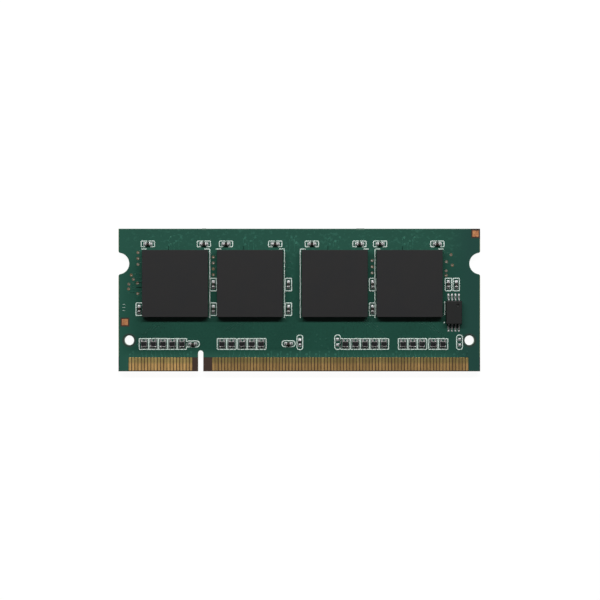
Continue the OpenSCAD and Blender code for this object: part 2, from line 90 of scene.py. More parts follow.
class Box:
    """A box along the axes, with its middle and sizes."""

    def __init__(self, low, high):
        self.low, self.high = Vector(low), Vector(high)
        self.middle = (self.low + self.high) / 2
        self.size = self.high - self.low

    def over(self, other, slack=0.02 * MM):
        """Whether the two boxes share ground seen from above."""
        return all(self.low[i] < other.high[i] + slack and other.low[i] < self.high[i] + slack
                   for i in (0, 1))


def around(boxes):
    """The box around several."""
    return Box([min(b.low[i] for b in boxes) for i in range(3)],
               [max(b.high[i] for b in boxes) for i in range(3)])


def solids(node):
    """The boxes of a CAD node's separate solids, in order of X and then Y."""
    mesh = bmesh.new()
    mesh.from_mesh(frame["nodes"][node].data)
    bmesh.ops.remove_doubles(mesh, verts=mesh.verts, dist=WELD)
    found, seen = [], set()
    for start in mesh.verts:
        if start in seen:
            continue
        seen.add(start)
        group, waiting = [], [start]
        while waiting:
            vertex = waiting.pop()
            group.append(vertex.co.copy())
            for edge in vertex.link_edges:
                other = edge.other_vert(vertex)
                if other not in seen:
                    seen.add(other)
                    waiting.append(other)
        found.append(Box([min(co[i] for co in group) for i in range(3)],
                         [max(co[i] for co in group) for i in range(3)]))
    mesh.free()
    return sorted(found, key=lambda b: (round(b.middle.x, 6), round(b.middle.y, 6)))


def node_box(node):
    return Box(*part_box(node))


def face_z(box, side):
    """Height of a box's face that looks out from one side of the board."""
    return box.high.z if side == FRONT else box.low.z


def foot_z(box, side):
    """Height of its face that looks back at the board."""
    return box.low.z if side == FRONT else box.high.z


class Parts:
    """One kind of small part on one face: its places, and the sizes that all of them share."""

    def __init__(self, side, name, body="ceramics"):
        self.side, self.name = side, name
        self.boxes = solids(f"{name}_{body}")
        ends = [b for b in solids(f"{name}_terminals") if b.over(self.boxes[0])]
        whole = around([self.boxes[0], *ends])
        self.length = max(whole.size.x, whole.size.y)
        self.width = min(whole.size.x, whole.size.y)
        self.height = whole.size.z
        self.underside = foot_z(whole, side)
        self.end_w = max(ends[0].size.x, ends[0].size.y)
        self.end_l = min(ends[0].size.x, ends[0].size.y)
        self.end_pitch = abs(ends[-1].middle.x - ends[0].middle.x)

    def places(self):
        """Where each part stands and how it is turned: upside down on the rear."""
        return [((b.middle.x, b.middle.y, self.underside), (FLIP[self.side], 0.0, upright(b)))
                for b in self.boxes]


def upright(box):
    """A quarter turn for a part whose length lies along Y."""
    return math.pi / 2 if box.size.y > 1.2 * box.size.x else 0.0


BOARD = node_box("core_laminate")
FACE = {side: face_z(node_box(f"{side}_solder_mask"), side) for side in SIDES}
PACKAGES = [node_box(f"dram_{i}_moulding") for i in PACKAGE_NUMBERS]
CHIP = node_box("eeprom_moulding")
LEADS = solids("eeprom_leads")
CAPACITORS = {side: Parts(side, f"{side}_capacitor") for side in SIDES}
ARRAYS = {side: Parts(side, f"{side}_array") for side in SIDES}
RESISTOR = Parts(FRONT, "resistor", "ceramic")
LANDS = {side: solids(f"{side}_lands") for side in SIDES}
VIAS = solids("plated_vias")
MARKS = [b for b in solids("alignment_marks") if b.low.z > BOARD.middle.z]
CONTACTS = {side: {row: solids(f"{side}_{row}_contacts") for row in ROWS} for side in SIDES}
CONTACT = CONTACTS[FRONT]["long"][0]
BORES = [m for m in frame["record"]["mounts"] if m["kind"] == "bore"]


# ---- sizes and colours ----------------------------------------------------------------------


def length(name, text, millimetres):
    return FloatProperty(name=name, description=text, default=millimetres * MM, min=0.0,
                         precision=6, subtype="DISTANCE", unit="LENGTH")


def shade(name, text, value):
    return FloatVectorProperty(name=name, description=text, default=value, size=3,
                               min=0.0, max=1.0, subtype="COLOR")


def angle(name, text, degrees):
    return FloatProperty(name=name, description=text, default=math.radians(degrees),
                         subtype="ANGLE", unit="ROTATION")


class ModuleBoard(bpy.types.PropertyGroup):
    """The bare board and its solder mask."""

    mask: shade("Mask", "Solder mask over bare laminate", (0.0165, 0.079, 0.055))
    mask_copper: shade("Mask over copper", "Solder mask over a copper trace", (0.019, 0.087, 0.061))
    glass: shade("Laminate", "Bare glass-epoxy between the contacts", (0.090, 0.055, 0.042))
    ring: shade("Hole ring", "Mask round the locating holes", (0.045, 0.052, 0.048))
    rim: shade("Laminate rim", "Bare glass-epoxy along the free edge", (0.09, 0.19, 0.14))
    side_rim: shade("Side rim", "Bare glass-epoxy along the short sides", (0.21, 0.27, 0.11))
    copper: shade("Copper", "Bare copper of the alignment marks", (0.82, 0.38, 0.17))
    via: shade("Via copper", "Dulled copper of the open vias", (0.25, 0.19, 0.155))
    via_stain: shade("Via stain", "Stain that some vias take", (0.26, 0.14, 0.055))
    ridge_w: length("Trace width", "Width of a trace under the mask", 0.13)
    ridge_h: length("Trace height", "How far a trace lifts the mask", 0.014)
    tent_w: length("Tent width", "Width of the mask's bump over a covered via", 0.48)
    torn: shade("Torn fibres", "Fibres at a break-off scar", (0.035, 0.048, 0.036))
    fibre: length("Fibre length", "How far those fibres stand out", 0.07)
    seed: IntProperty(name="Seed", description="Seed of the torn fibres and of staggered traces", default=3)


class ModuleInk(bpy.types.PropertyGroup):
    """The printed outlines."""

    colour: shade("Ink", "Printed outline", (0.80, 0.92, 0.86))
    line_w: length("Line width", "Width of a printed line", 0.18)
    line_h: length("Line height", "Thickness of the ink", 0.012)
    divider: FloatProperty(name="Divider", description="Width of the lines between arrays, to a line's width",
                           default=1.6)
    fine: FloatProperty(name="Fine line", description="Width of the finest dashes, to a line's width",
                        default=0.3)


class ModuleContacts(bpy.types.PropertyGroup):
    """The gold edge contacts."""

    gold: shade("Gold", "Plated contact", (0.62, 0.46, 0.165))
    wiped: shade("Wiped gold", "Contact towards the edge, where a socket has wiped it", (0.92, 0.575, 0.215))
    long_row: FloatProperty(name="Long row", description="Brightness of the long row, to the short one's",
                            default=0.68)
    corner_r: length("Corner radius", "Rounding of a contact's corners", 0.07)
    edge_r: length("Edge radius", "Rounding of a contact's top edge", 0.012)


class ModuleParts(bpy.types.PropertyGroup):
    """Capacitors, resistors and their solder."""

    tan: shade("Capacitor ceramic", "Body of a capacitor", (0.030, 0.022, 0.018))
    white: shade("White ceramic", "Body of a resistor or an array", (0.36, 0.36, 0.34))
    glaze: shade("Black coating", "Coating over a resistor", (0.006, 0.006, 0.007))
    tin: shade("Tin", "Plated terminals and leads", (0.78, 0.79, 0.78))
    solder: shade("Solder", "Solder in front of a terminal", (0.68, 0.69, 0.70))
    # Painted highlight: this solder is near white and half diffuse, so it looks bright from every side in
    # place of glints.
    clean_solder: shade("Clean solder", "Solder of the single resistor and the empty places",
                        (0.9, 0.91, 0.92))
    bright_tin: shade("Bright tin", "Plated leads of the settings chip", (0.66, 0.67, 0.67))
    edge_r: length("Edge radius", "Rounding of a terminal's edges", 0.05)
    toe: length("Fillet length", "Length of the solder in front of a terminal", 0.29)
    askew: angle("Askew", "Most that a part is turned off its land", 1.2)
    seed: IntProperty(name="Seed", description="Seed of the parts' small turns", default=7)


class ModulePackages(bpy.types.PropertyGroup):
    """The memory packages and the settings chip."""

    moulding: shade("Moulding", "Black moulded epoxy", (0.014, 0.014, 0.015))
    chip_moulding: shade("Chip moulding", "Moulded epoxy of the settings chip", (0.008, 0.009, 0.009))
    laminate: shade("Package laminate", "Edge of a package's own laminate", (0.030, 0.050, 0.020))
    silicon: shade("Silicon", "Back of a die", (0.10, 0.10, 0.12))
    film: shade("Die film", "Film under a die", (0.50, 0.34, 0.12))
    paddle: shade("Paddle", "Copper under the settings chip's die", (0.62, 0.36, 0.22))
    dimple_r: length("Dimple radius", "Radius of the settings chip's first-lead dimple", 0.3)
    dimple_depth: length("Dimple depth", "Depth of that dimple", 0.12)


class ModuleStage(bpy.types.PropertyGroup):
    """Camera, lamps, floor and surroundings."""

    view_w: length("View width", "Width of the view at the board's face", 112.15)
    aside: length("Camera aside", "Camera's offset to the right of the board's middle", 0.13)
    lens: FloatProperty(name="Lens", description="Focal length", default=100.0, unit="CAMERA")
    key_height: angle("Key height", "Angle of the main lamp above the board", 50)
    key_spread: angle("Key spread", "Angle that the main lamp fills from side to side", 95)
    key_depth: angle("Key depth", "Angle that the main lamp fills from front to back", 7)
    key: FloatProperty(name="Key", description="Share of full brightness from the main lamp", default=0.71)
    fill: FloatProperty(name="Fill", description="Share of full brightness from all round", default=0.02)
    under: FloatProperty(name="Under", description="Share of full brightness from below", default=0.6)
    floor: FloatProperty(name="Floor", description="Brightness of the floor in the object's shadow",
                         default=0.96)


SETTINGS = {"module_board": ModuleBoard, "module_ink": ModuleInk, "module_contacts": ModuleContacts,
            "module_parts": ModuleParts, "module_packages": ModulePackages, "module_stage": ModuleStage}


# ---- materials ------------------------------------------------------------------------------


def toned(colour, *shares):
    """A colour with its channels times one share, or each times its own."""
    return tuple(c * share for c, share in zip(colour, shares * (3 // len(shares))))


def hazy(colour, share, haze):
    """A paler colour, with a little white over it."""
    return tuple(c * share + haze for c in colour)


class Graph:
    """A node tree under construction."""

    def __init__(self, tree):
        self.tree, self.nodes, self.links = tree, tree.nodes, tree.links

    def node(self, kind, inputs=None, **settings):
        made = self.nodes.new(kind)
        for name, value in settings.items():
            setattr(made, name, value)
        for name, value in (inputs or {}).items():
            self.feed(made.inputs[name], value)
        return made

    def feed(self, socket, value):
        """Links a socket to another, or sets its number or colour."""
        if isinstance(value, bpy.types.NodeSocket):
            self.links.new(value, socket)
        elif socket.type == "RGBA":
            socket.default_value = (*value, 1) if hasattr(value, "__len__") else (value, value, value, 1)
        else:
            socket.default_value = value

    def between(self, factor, low, high, at=(0.35, 0.65)):
        """A number that runs from low to high as the factor crosses the two stops."""
        spread = self.node("ShaderNodeMapRange", {"Value": factor, "From Min": at[0], "From Max": at[1],
                                                  "To Min": low, "To Max": high})
        return spread.outputs["Result"]

    def math(self, operation, *values):
        return self.node("ShaderNodeMath", dict(enumerate(values)), operation=operation).outputs[0]

    def mixed(self, factor, low, high):
        """A mix of two shaders."""
        return self.node("ShaderNodeMixShader", {0: factor, 1: low, 2: high}).outputs[0]


class Finish(Graph):
    """A node material under construction, on Object coordinates counted in millimetres."""

    def __init__(self, name, **fixed):
        self.material = bpy.data.materials.new(name)
        self.material.use_nodes = True
        super().__init__(self.material.node_tree)
        self.surface = self.nodes["Principled BSDF"]
        self.place = self.node("ShaderNodeTexCoord").outputs["Object"]
        self.dress(**fixed)

    def dress(self, **inputs):
        for socket, value in inputs.items():
            self.feed(self.surface.inputs[socket.replace("_", " ")], value)

    def stretched(self, scale):
        mapped = self.node("ShaderNodeMapping", {"Vector": self.place, "Scale": [s / MM for s in scale]})
        return mapped.outputs["Vector"]

    def noise(self, scale, detail=2.0, roughness=0.5):
        """Noise with so many cells to the millimetre, along each axis or alike along all."""
        scale = scale if hasattr(scale, "__len__") else (scale,) * 3
        inputs = {"Vector": self.stretched(scale), "Scale": 1.0, "Detail": detail, "Roughness": roughness}
        return self.node("ShaderNodeTexNoise", inputs).outputs["Fac"]

    def patches(self, low, high, scale, detail=2.0, at=(0.35, 0.65)):
        """Colours the surface in patches of two tones."""
        self.dress(Base_Color=self.blend(self.noise(scale, detail), low, high, at))

    def sheen(self, factor, rough, spread):
        """Lets the roughness rise with a factor, by so much."""
        self.dress(Roughness=self.between(factor, rough, rough + spread))

    def blend(self, factor, low, high, at=(0.35, 0.65)):
        """A colour that runs from low to high as the factor crosses the two stops."""
        mixed = self.node("ShaderNodeMix", data_type="RGBA")
        self.feed(mixed.inputs[0], self.between(factor, 0.0, 1.0, at) if at else factor)
        self.feed(mixed.inputs[6], low)
        self.feed(mixed.inputs[7], high)
        return mixed.outputs[2]

    def shaded(self, colour, share):
        """A colour times a number."""
        made = self.node("ShaderNodeVectorMath", {0: colour, "Scale": share}, operation="SCALE")
        return made.outputs[0]

    def axis(self, index):
        """One Object coordinate in millimetres."""
        return self.node("ShaderNodeSeparateXYZ", {0: self.stretched((1, 1, 1))}).outputs[index]

    def inside(self, box, slack):
        """1 within a box seen from above, grown by the slack in millimetres, and 0 elsewhere."""
        share = 1.0
        for i in (0, 1):
            off = self.math("ABSOLUTE", self.math("SUBTRACT", self.axis(i), box.middle[i] / MM))
            near = self.math("LESS_THAN", off, box.size[i] / 2 / MM + slack)
            share = self.math("MULTIPLY", near, share)
        return share

    def apart(self, place):
        """Distance from an upright axis through a place, in millimetres."""
        offs = [self.math("SUBTRACT", self.axis(i), place[i] / MM) for i in (0, 1)]
        return self.math("SQRT", self.math("ADD", *(self.math("MULTIPLY", off, off) for off in offs)))

    def facing_up(self):
        """1 on faces that look up or down, 0 on the sides."""
        normal = self.node("ShaderNodeNewGeometry").outputs["Normal"]
        up = self.node("ShaderNodeSeparateXYZ", {0: normal}).outputs[2]
        return self.math("GREATER_THAN", self.math("ABSOLUTE", up), 0.5)

    def weave(self, pitch=0.45):
        """Woven glass cloth: bundles that cross over and under each other."""
        waves = [self.math("SINE", self.math("MULTIPLY", self.axis(i), 2 * math.pi / pitch)) for i in (0, 1)]
        return self.math("MULTIPLY_ADD", self.math("MULTIPLY", *waves), 0.5, 0.5)

    def relief(self, height, depth):
        """Relief of the given depth in millimetres."""
        bumped = self.node("ShaderNodeBump", {"Height": height, "Distance": depth * MM})
        self.feed(self.surface.inputs["Normal"], bumped.outputs["Normal"])
        return self.material


def laminate_finish(name, board):
    """Bare glass-epoxy: cloth seen from above, brown between the contacts and round the marks, green
    and paler along the rim, and layered fibres on the cut edges."""
    made = Finish(name, Roughness=0.5, Specular_IOR_Level=0.2)
    cloth = made.math("MULTIPLY", made.weave(), made.noise(6))
    window_top = CONTACT.high.y / MM + 0.05
    end = BOARD.high.x / MM
    aside = made.math("ABSOLUTE", made.axis(0))
    rim = made.blend(aside, board.rim, board.side_rim, at=(end - 0.2, end - 0.1))
    brown = made.math("LESS_THAN", made.axis(1), window_top)
    for mark in MARKS:
        brown = made.math("MAXIMUM", brown, made.inside(mark, 0.4))
    between = made.blend(cloth, toned(board.glass, 0.7), board.glass)
    top = made.blend(brown, rim, between, at=None)
    layers = made.noise((1.5, 1.5, 22), detail=3.0)
    side = made.blend(layers, toned(board.side_rim, 0.35), board.side_rim)
    flat = made.facing_up()
    made.dress(Base_Color=made.blend(flat, side, top, at=None))
    return made.relief(made.math("MULTIPLY", layers, made.math("SUBTRACT", 1.0, flat)), 0.01)


def mask_finish(name, colour, lift, ring):
    """Solder mask: deep green film with slow drifts of tone and a faint cloth relief. It is paler near
    the contacts, at the left end and towards the free edge, where it is flecked as well, bluish at
    the right end, and darker in a ring round each locating hole. The paling towards the free edge,
    the lamp's side, is partly painted light."""
    made = Finish(name, Roughness=0.26, Specular_IOR_Level=0.2)
    slow = made.noise((0.10, 0.16, 0.3), detail=3.0)
    fine = made.noise(2.6, detail=4.0, roughness=0.65)
    tone = made.math("MULTIPLY_ADD", fine, 0.5, made.math("MULTIPLY", slow, 0.5))
    film = made.blend(tone, toned(colour, 0.86), toned(colour, 1.18))
    left, right = BOARD.low.x / MM, BOARD.high.x / MM
    package_top, contact_top = PACKAGES[0].high.y / MM, CONTACT.high.y / MM
    # Partly painted light: the film pales towards the free edge, on the lamp's side.
    upper = made.between(made.axis(1), 0.0, 1.0, at=(package_top - 4, package_top + 1))
    low = made.between(made.axis(1), 1.0, 0.0, at=(contact_top, contact_top + 1.6))
    pale = hazy(colour, lift, 0.008)
    drift = made.math("MAXIMUM", made.math("MULTIPLY", upper, 0.55), low)
    film = made.blend(drift, film, pale, at=None)
    flecks = made.between(made.noise((1.5, 1.9, 1), detail=2.5), 0.0, 0.75, at=(0.56, 0.70))
    film = made.blend(made.math("MULTIPLY", upper, flecks), film, toned(pale, 1.25), at=None)
    film = made.blend(made.axis(0), hazy(colour, 1.35, 0.003), film, at=(left, left + 3.5))
    bluish = toned(colour, 1.3, 1.02, 1.16)
    film = made.blend(made.axis(0), film, bluish, at=(right - 6.5, right - 2))
    for bore in BORES:
        r = bore["dims"]["r_mm"]
        film = made.blend(made.apart(bore["pos_m"]), ring, film, at=(r + 0.15, r + 0.5))
    made.dress(Base_Color=film)
    height = made.math("MULTIPLY_ADD", made.weave(), 0.3, made.noise(1.3))
    return made.relief(height, 0.002)


def ink_finish(name, ink):
    """Printed ink: slightly patchy, so that the green shows through where it is thin."""
    made = Finish(name, Roughness=0.6, Specular_IOR_Level=0.3)
    thin = toned(ink.colour, 0.76, 0.86, 0.81)
    made.patches(thin, ink.colour, 5, 3.0, at=(0.3, 0.55))
    return made.relief(made.noise(14), 0.004)


def gold_finish(name, contacts):
    """Dulled gold: each contact takes its own tone, redder and brighter where it is wiped, with
    marks along it."""
    made = Finish(name, Metallic=0.86, Specular_IOR_Level=0.3)
    middle = CONTACT.middle.y / MM
    low = made.between(made.axis(1), 1.0, 0.0, at=(middle - 0.1, middle + 0.4))
    tone = made.blend(low, contacts.gold, contacts.wiped, at=None)
    lane = made.noise((1.9, 0.05, 1.0))
    tone = made.shaded(tone, made.between(lane, 0.80, 1.12))
    key = CONTACTS[FRONT]["short"][-1].high.x / MM
    tone = made.shaded(tone, made.between(made.axis(0), 1.0, contacts.long_row, at=(key - 2, key + 4)))
    made.dress(Base_Color=tone)
    wipes = made.noise((14, 0.8, 1.0), detail=3.0)
    made.sheen(wipes, 0.36, 0.14)
    return made.relief(wipes, 0.001)


def metal_finish(name, colour, rough, grain, low=0.6, below=True, metallic=1.0):
    """Matt metal with a fine grain and an uneven sheen. Its colour carries painted shade: it is darkened
    below the packages' tops, to the low share below the settings chip, and there broken by painted
    glints in spots, but less so on the low capacitors and the single resistor."""
    made = Finish(name, Metallic=metallic)
    grains = made.blend(made.noise(grain, detail=3.0), toned(colour, 0.8), colour)
    # Painted shade: the base colour darkens by these shares below the packages' tops and below the settings
    # chip.
    high = 0.35
    painted_shade = 0.0
    for height, share in ((PACKAGES[0].high.y, high), (CHIP.low.y, low - high)):
        painted_shade = made.math("MULTIPLY_ADD", made.math("LESS_THAN", made.axis(1), height / MM), share, painted_shade)
    if below:
        # Painted glints: below the arrays' middle the painted shade breaks up into bright spots.
        shade_and_glints = made.between(made.noise(5.5, detail=1.0), 0.92, 0.0, at=(0.50, 0.62))
        lower = made.math("LESS_THAN", made.axis(1), ARRAYS[FRONT].boxes[0].middle.y / MM)
        painted_shade = made.math("MULTIPLY_ADD", lower, made.math("SUBTRACT", shade_and_glints, painted_shade), painted_shade)
    # Less painted shade on the low capacitors and the single resistor, so that their ends look lit.
    row = ARRAYS[FRONT].boxes[0].high.y
    for box in RESISTOR.boxes + [b for b in CAPACITORS[FRONT].boxes if b.middle.y < row]:
        painted_shade = made.math("MULTIPLY", painted_shade, made.math("MULTIPLY_ADD", made.inside(box, 0.6), -0.8, 1.0))
    made.dress(Base_Color=made.blend(painted_shade, grains, toned(colour, 0.08), at=None))
    made.sheen(made.noise(grain / 2), rough, 0.14)
    return made.relief(made.noise(grain * 2), 0.002)


def moulding_finish(name, colour):
    """Moulded epoxy: near-black, with the fine sand texture of its mould."""
    made = Finish(name, Specular_IOR_Level=0.35)
    made.patches(colour, toned(colour, 1.1, 1.05, 1.0), 0.3)
    sand = made.noise(20, detail=4.0, roughness=0.6)
    made.sheen(sand, 0.50, 0.14)
    return made.relief(sand, 0.004)


def layered_finish(name, colour):
    """Edge of a package's own laminate: dark green, in thin layers."""
    made = Finish(name, Roughness=0.45)
    layers = made.noise((2, 2, 30), detail=3.0)
    made.dress(Base_Color=made.blend(layers, colour, toned(colour, 2.2)))
    return made.relief(layers, 0.004)


def ceramic_finish(name, colour, dark):
    """Fired ceramic: fine speckle and a waxy sheen."""
    made = Finish(name, Roughness=0.42)
    made.patches(toned(colour, dark), colour, 14, 4.0)
    return made.relief(made.noise(22), 0.003)


def glaze_finish(name, colour):
    """Glassy black coating over a resistor."""
    made = Finish(name, Coat_Weight=0.3, Coat_Roughness=0.1)
    made.patches(colour, toned(colour, 2.0), 9, 3.0)
    made.sheen(made.noise(12), 0.24, 0.12)
    return made.relief(made.noise(6), 0.003)


def copper_finish(name, colour, stain, patches, rough):
    """Bare copper: brushed, and stained in so many patches to the millimetre."""
    made = Finish(name, Metallic=1.0)
    made.patches(stain, colour, patches, 4.0)
    made.sheen(made.noise(5), rough, 0.12)
    return made.relief(made.noise((4, 16, 1), detail=3.0), 0.002)


def covered_finish(name, colour, rough):
    """Dies and films, which stay covered."""
    made = Finish(name, Roughness=rough)
    made.patches(toned(colour, 0.8), colour, 4)
    return made.relief(made.noise(8), 0.001)


def finish(name, maker, *looks, **details):
    """The material of this finish, made on first use."""
    name += "_finish"
    return bpy.data.materials.get(name) or maker(name, *looks, **details)


def tin(parts):
    return finish("matt_tin", metal_finish, parts.tin, rough=0.36, grain=9, low=0.45)


def solder_metal(parts):
    return finish("solder", metal_finish, parts.solder, rough=0.36, grain=5, low=0.85)


# Painted highlight: half-diffuse near-white solder that stays bright from every side, standing in for glints.
def clean_solder(parts):
    return finish("clean_solder", metal_finish, parts.clean_solder, rough=0.30, grain=5, low=0.4,
                  below=False, metallic=0.5)


# ---- meshes ---------------------------------------------------------------------------------


def new_object(name, data, material=None):
    made = bpy.data.objects.new(name, data)
    if material:
        data.materials.append(material)
    bpy.context.scene.collection.objects.link(made)
    return made


def drawn_mesh(vertices, edges=(), faces=()):
    mesh = bpy.data.meshes.new("drawn")
    mesh.from_pydata([tuple(v) for v in vertices], list(edges), list(faces))
    mesh.update()
    return mesh


def finished(mesh, smooth=35.0):
    """A bmesh as a mesh with its faces outwards, shaded smooth below the given angle. Faces square to
    an axis stay flat, so that a rounded edge doesn't tint them."""
    bmesh.ops.recalc_face_normals(mesh, faces=mesh.faces)
    made = bpy.data.meshes.new("shape")
    mesh.to_mesh(made)
    mesh.free()
    made.shade_smooth()
    made.set_sharp_from_angle(angle=math.radians(smooth))
    for face in made.polygons:
        face.use_smooth = max(abs(n) for n in face.normal) < 0.999
    return made


def soften(mesh, edges, radius, segments):
    bmesh.ops.bevel(mesh, geom=list(edges), offset=radius, segments=segments, profile=0.5,
                    affect="EDGES", clamp_overlap=True)


def add_block(mesh, low, high, radius):
    """Adds a block with rounded edges to a bmesh."""
    made = bmesh.ops.create_cube(mesh, size=1.0)["verts"]
    for vertex in made:
        for i in range(3):
            vertex.co[i] = high[i] if vertex.co[i] > 0 else low[i]
    soften(mesh, {e for v in made for e in v.link_edges}, radius, 2)


def add_ring(mesh, outline, z):
    return [mesh.verts.new((x, y, z)) for x, y in outline]


def add_skin(mesh, rings):
    """Adds the faces from each closed ring of vertices to the next."""
    for low, high in zip(rings, rings[1:]):
        for k in range(len(low)):
            mesh.faces.new((low[k - 1], low[k], high[k], high[k - 1]))


def add_prism(mesh, outline, low, high, radius, segments=2):
    """Adds an upright prism with a rounded top rim to a bmesh."""
    rings = [add_ring(mesh, outline, z) for z in (low, high)]
    mesh.faces.new(rings[0][::-1])
    lid = mesh.faces.new(rings[1])
    add_skin(mesh, rings)
    soften(mesh, lid.edges, radius, segments)


def add_turned(mesh, profile, steps=12):
    """Adds a turned shape to a bmesh, from (radius, height) pairs that start and end on the axis."""
    rings = []
    for radius, height in profile:
        count = steps if radius else 1
        turns = [2 * math.pi * k / count for k in range(count)]
        rings.append(add_ring(mesh, [(radius * math.cos(a), radius * math.sin(a)) for a in turns], height))
    for low, high in zip(rings, rings[1:]):
        for k in range(steps):
            corners = [ring[j % len(ring)] for ring, j in ((low, k), (low, k + 1), (high, k + 1), (high, k))]
            mesh.faces.new(list(dict.fromkeys(corners)))


def arc(middle, radius, start, end, steps=3):
    """Points along an arc, with its angles in degrees."""
    turns = [math.radians(start + (end - start) * k / steps) for k in range(steps + 1)]
    return [(middle[0] + radius * math.cos(a), middle[1] + radius * math.sin(a)) for a in turns]


def rounded(width, height, radius, steps=3):
    """Outline of a rectangle about the origin with round corners, from its right top corner."""
    x, y = width / 2 - radius, height / 2 - radius
    corners = ((x, y, 0), (-x, y, 90), (-x, -y, 180), (x, -y, 270))
    return [p for cx, cy, turn in corners for p in arc((cx, cy), radius, turn, turn + 90, steps)]


def moved(points, place, turn=0.0):
    c, s = math.cos(turn), math.sin(turn)
    return [(place[0] + x * c - y * s, place[1] + x * s + y * c) for x, y in points]


# ---- geometry nodes -------------------------------------------------------------------------


class Tree(Graph):
    """A Geometry Nodes tree under construction, with named inputs."""

    def __init__(self, name, **inputs):
        super().__init__(bpy.data.node_groups.new(name, "GeometryNodeTree"))
        sockets = {"Geometry": "Geometry", **{k.replace("_", " "): v for k, v in inputs.items()}}
        for label, kind in sockets.items():
            self.tree.interface.new_socket(label, in_out="INPUT", socket_type="NodeSocket" + kind)
        self.tree.interface.new_socket("Geometry", in_out="OUTPUT", socket_type="NodeSocketGeometry")
        self.entry = self.node("NodeGroupInput")

    def given(self, label):
        return self.entry.outputs[label]

    def step(self, kind, inputs=None, output=0, **settings):
        """Adds a node and returns one of its outputs."""
        return self.node(kind, inputs, **settings).outputs[output]

    def instances(self, points, rotation):
        """The given part on every point."""
        part = self.step("GeometryNodeObjectInfo", {"Object": self.given("Part")}, "Geometry")
        return self.step("GeometryNodeInstanceOnPoints",
                         {"Points": points, "Instance": part, "Rotation": rotation})

    def end(self, geometry):
        """Ends the tree in Realize Instances and Set Material."""
        real = self.step("GeometryNodeRealizeInstances", {"Geometry": geometry})
        dressed = self.step("GeometryNodeSetMaterial", {"Geometry": real, "Material": self.given("Material")})
        self.node("NodeGroupOutput", {0: dressed})
        return self.tree


def scatter_tree(name):
    """Puts a part on every point, turned by the point's own rotation and a little askew."""
    made = Tree(name, Part="Object", Askew="Float", Seed="Int", Material="Material")
    stored = made.step("GeometryNodeInputNamedAttribute", {"Name": "rotation"}, data_type="FLOAT_VECTOR")
    facing = made.step("FunctionNodeEulerToRotation", {"Euler": stored})
    askew = made.given("Askew")
    bounds = {2: made.math("MULTIPLY", askew, -1.0), 3: askew, "Seed": made.given("Seed")}
    turn = made.step("FunctionNodeRandomValue", bounds, 1, data_type="FLOAT")
    skew = made.step("FunctionNodeEulerToRotation", {"Euler": made.step("ShaderNodeCombineXYZ", {"Z": turn})})
    both = made.step("FunctionNodeRotateRotation", {"Rotation": facing, "Rotate By": skew},
                     rotation_space="LOCAL")
    return made.end(made.instances(made.given("Geometry"), both))


def row_tree(name):
    """Repeats a part along X at an even pitch from its first place."""
    made = Tree(name, Part="Object", Count="Int", Pitch="Float", First="Vector", Turn="Vector",
                Material="Material")
    step = made.step("ShaderNodeCombineXYZ", {"X": made.given("Pitch")})
    line = made.step("GeometryNodeMeshLine",
                     {"Count": made.given("Count"), "Start Location": made.given("First"), "Offset": step})
    turn = made.step("FunctionNodeEulerToRotation", {"Euler": made.given("Turn")})
    return made.end(made.instances(line, turn))


def strip_tree(name):
    """Sweeps a low strip along drawn lines, with its bends rounded. Crown is 0 for a flat strip
    and 1 for a round one."""
    made = Tree(name, Width="Float", Height="Float", Bend_radius="Float", Crown="Bool",
                Material="Material")
    curve = made.step("GeometryNodeMeshToCurve", {"Mesh": made.given("Geometry")})
    level = made.step("GeometryNodeSetCurveNormal", {"Curve": curve}, mode="Z_UP")
    bent = made.step("GeometryNodeFilletCurve", {"Curve": level, "Count": 2, "Limit Radius": True,
                                                 "Radius": made.given("Bend radius")}, mode="POLY")
    flat = made.step("GeometryNodeCurvePrimitiveQuadrilateral", {"Width": 1.0, "Height": 1.0})
    crowned = made.step("GeometryNodeCurvePrimitiveCircle", {"Resolution": 6, "Radius": 0.5})
    section = made.step("GeometryNodeSwitch", {"Switch": made.given("Crown"), "False": flat, "True": crowned},
                        input_type="GEOMETRY")
    size = made.step("ShaderNodeCombineXYZ", {"X": made.given("Width"), "Y": made.given("Height"), "Z": 1.0})
    shaped = made.step("GeometryNodeTransform", {"Geometry": section, "Scale": size})
    swept = made.step("GeometryNodeCurveToMesh", {"Curve": bent, "Profile Curve": shaped, "Fill Caps": True})
    return made.end(swept)


def grown(name, source, maker, inputs):
    """Runs a tree on a mesh and returns the result as a plain mesh object. A part that it repeats is
    used up."""
    tree = bpy.data.node_groups.get(maker.__name__) or maker(maker.__name__)
    made = new_object(name, source)
    modifier = made.modifiers.new("grow", "NODES")
    modifier.node_group = tree
    sockets = {s.name: s.identifier for s in tree.interface.items_tree if s.in_out == "INPUT"}
    for label, value in inputs.items():
        modifier[sockets[label]] = value
    graph = bpy.context.evaluated_depsgraph_get()
    result = bpy.data.meshes.new_from_object(made.evaluated_get(graph), depsgraph=graph)
    made.modifiers.clear()
    made.data = result
    if "Part" in inputs:
        bpy.data.objects.remove(inputs["Part"])
    return made


def points_mesh(places):
    """Points with a rotation each, from (place, rotation) pairs."""
    mesh = drawn_mesh([place for place, _ in places])
    stored = mesh.attributes.new("rotation", "FLOAT_VECTOR", "POINT")
    for item, (_, rotation) in zip(stored.data, places):
        item.vector = rotation
    return mesh


def scattered(name, shape, places, material, askew=0.0, seed=0):
    """One shape at every place, as one piece."""
    return grown(name, points_mesh(places), scatter_tree,
                 {"Part": new_object("template", shape), "Askew": askew, "Seed": seed,
                  "Material": material})


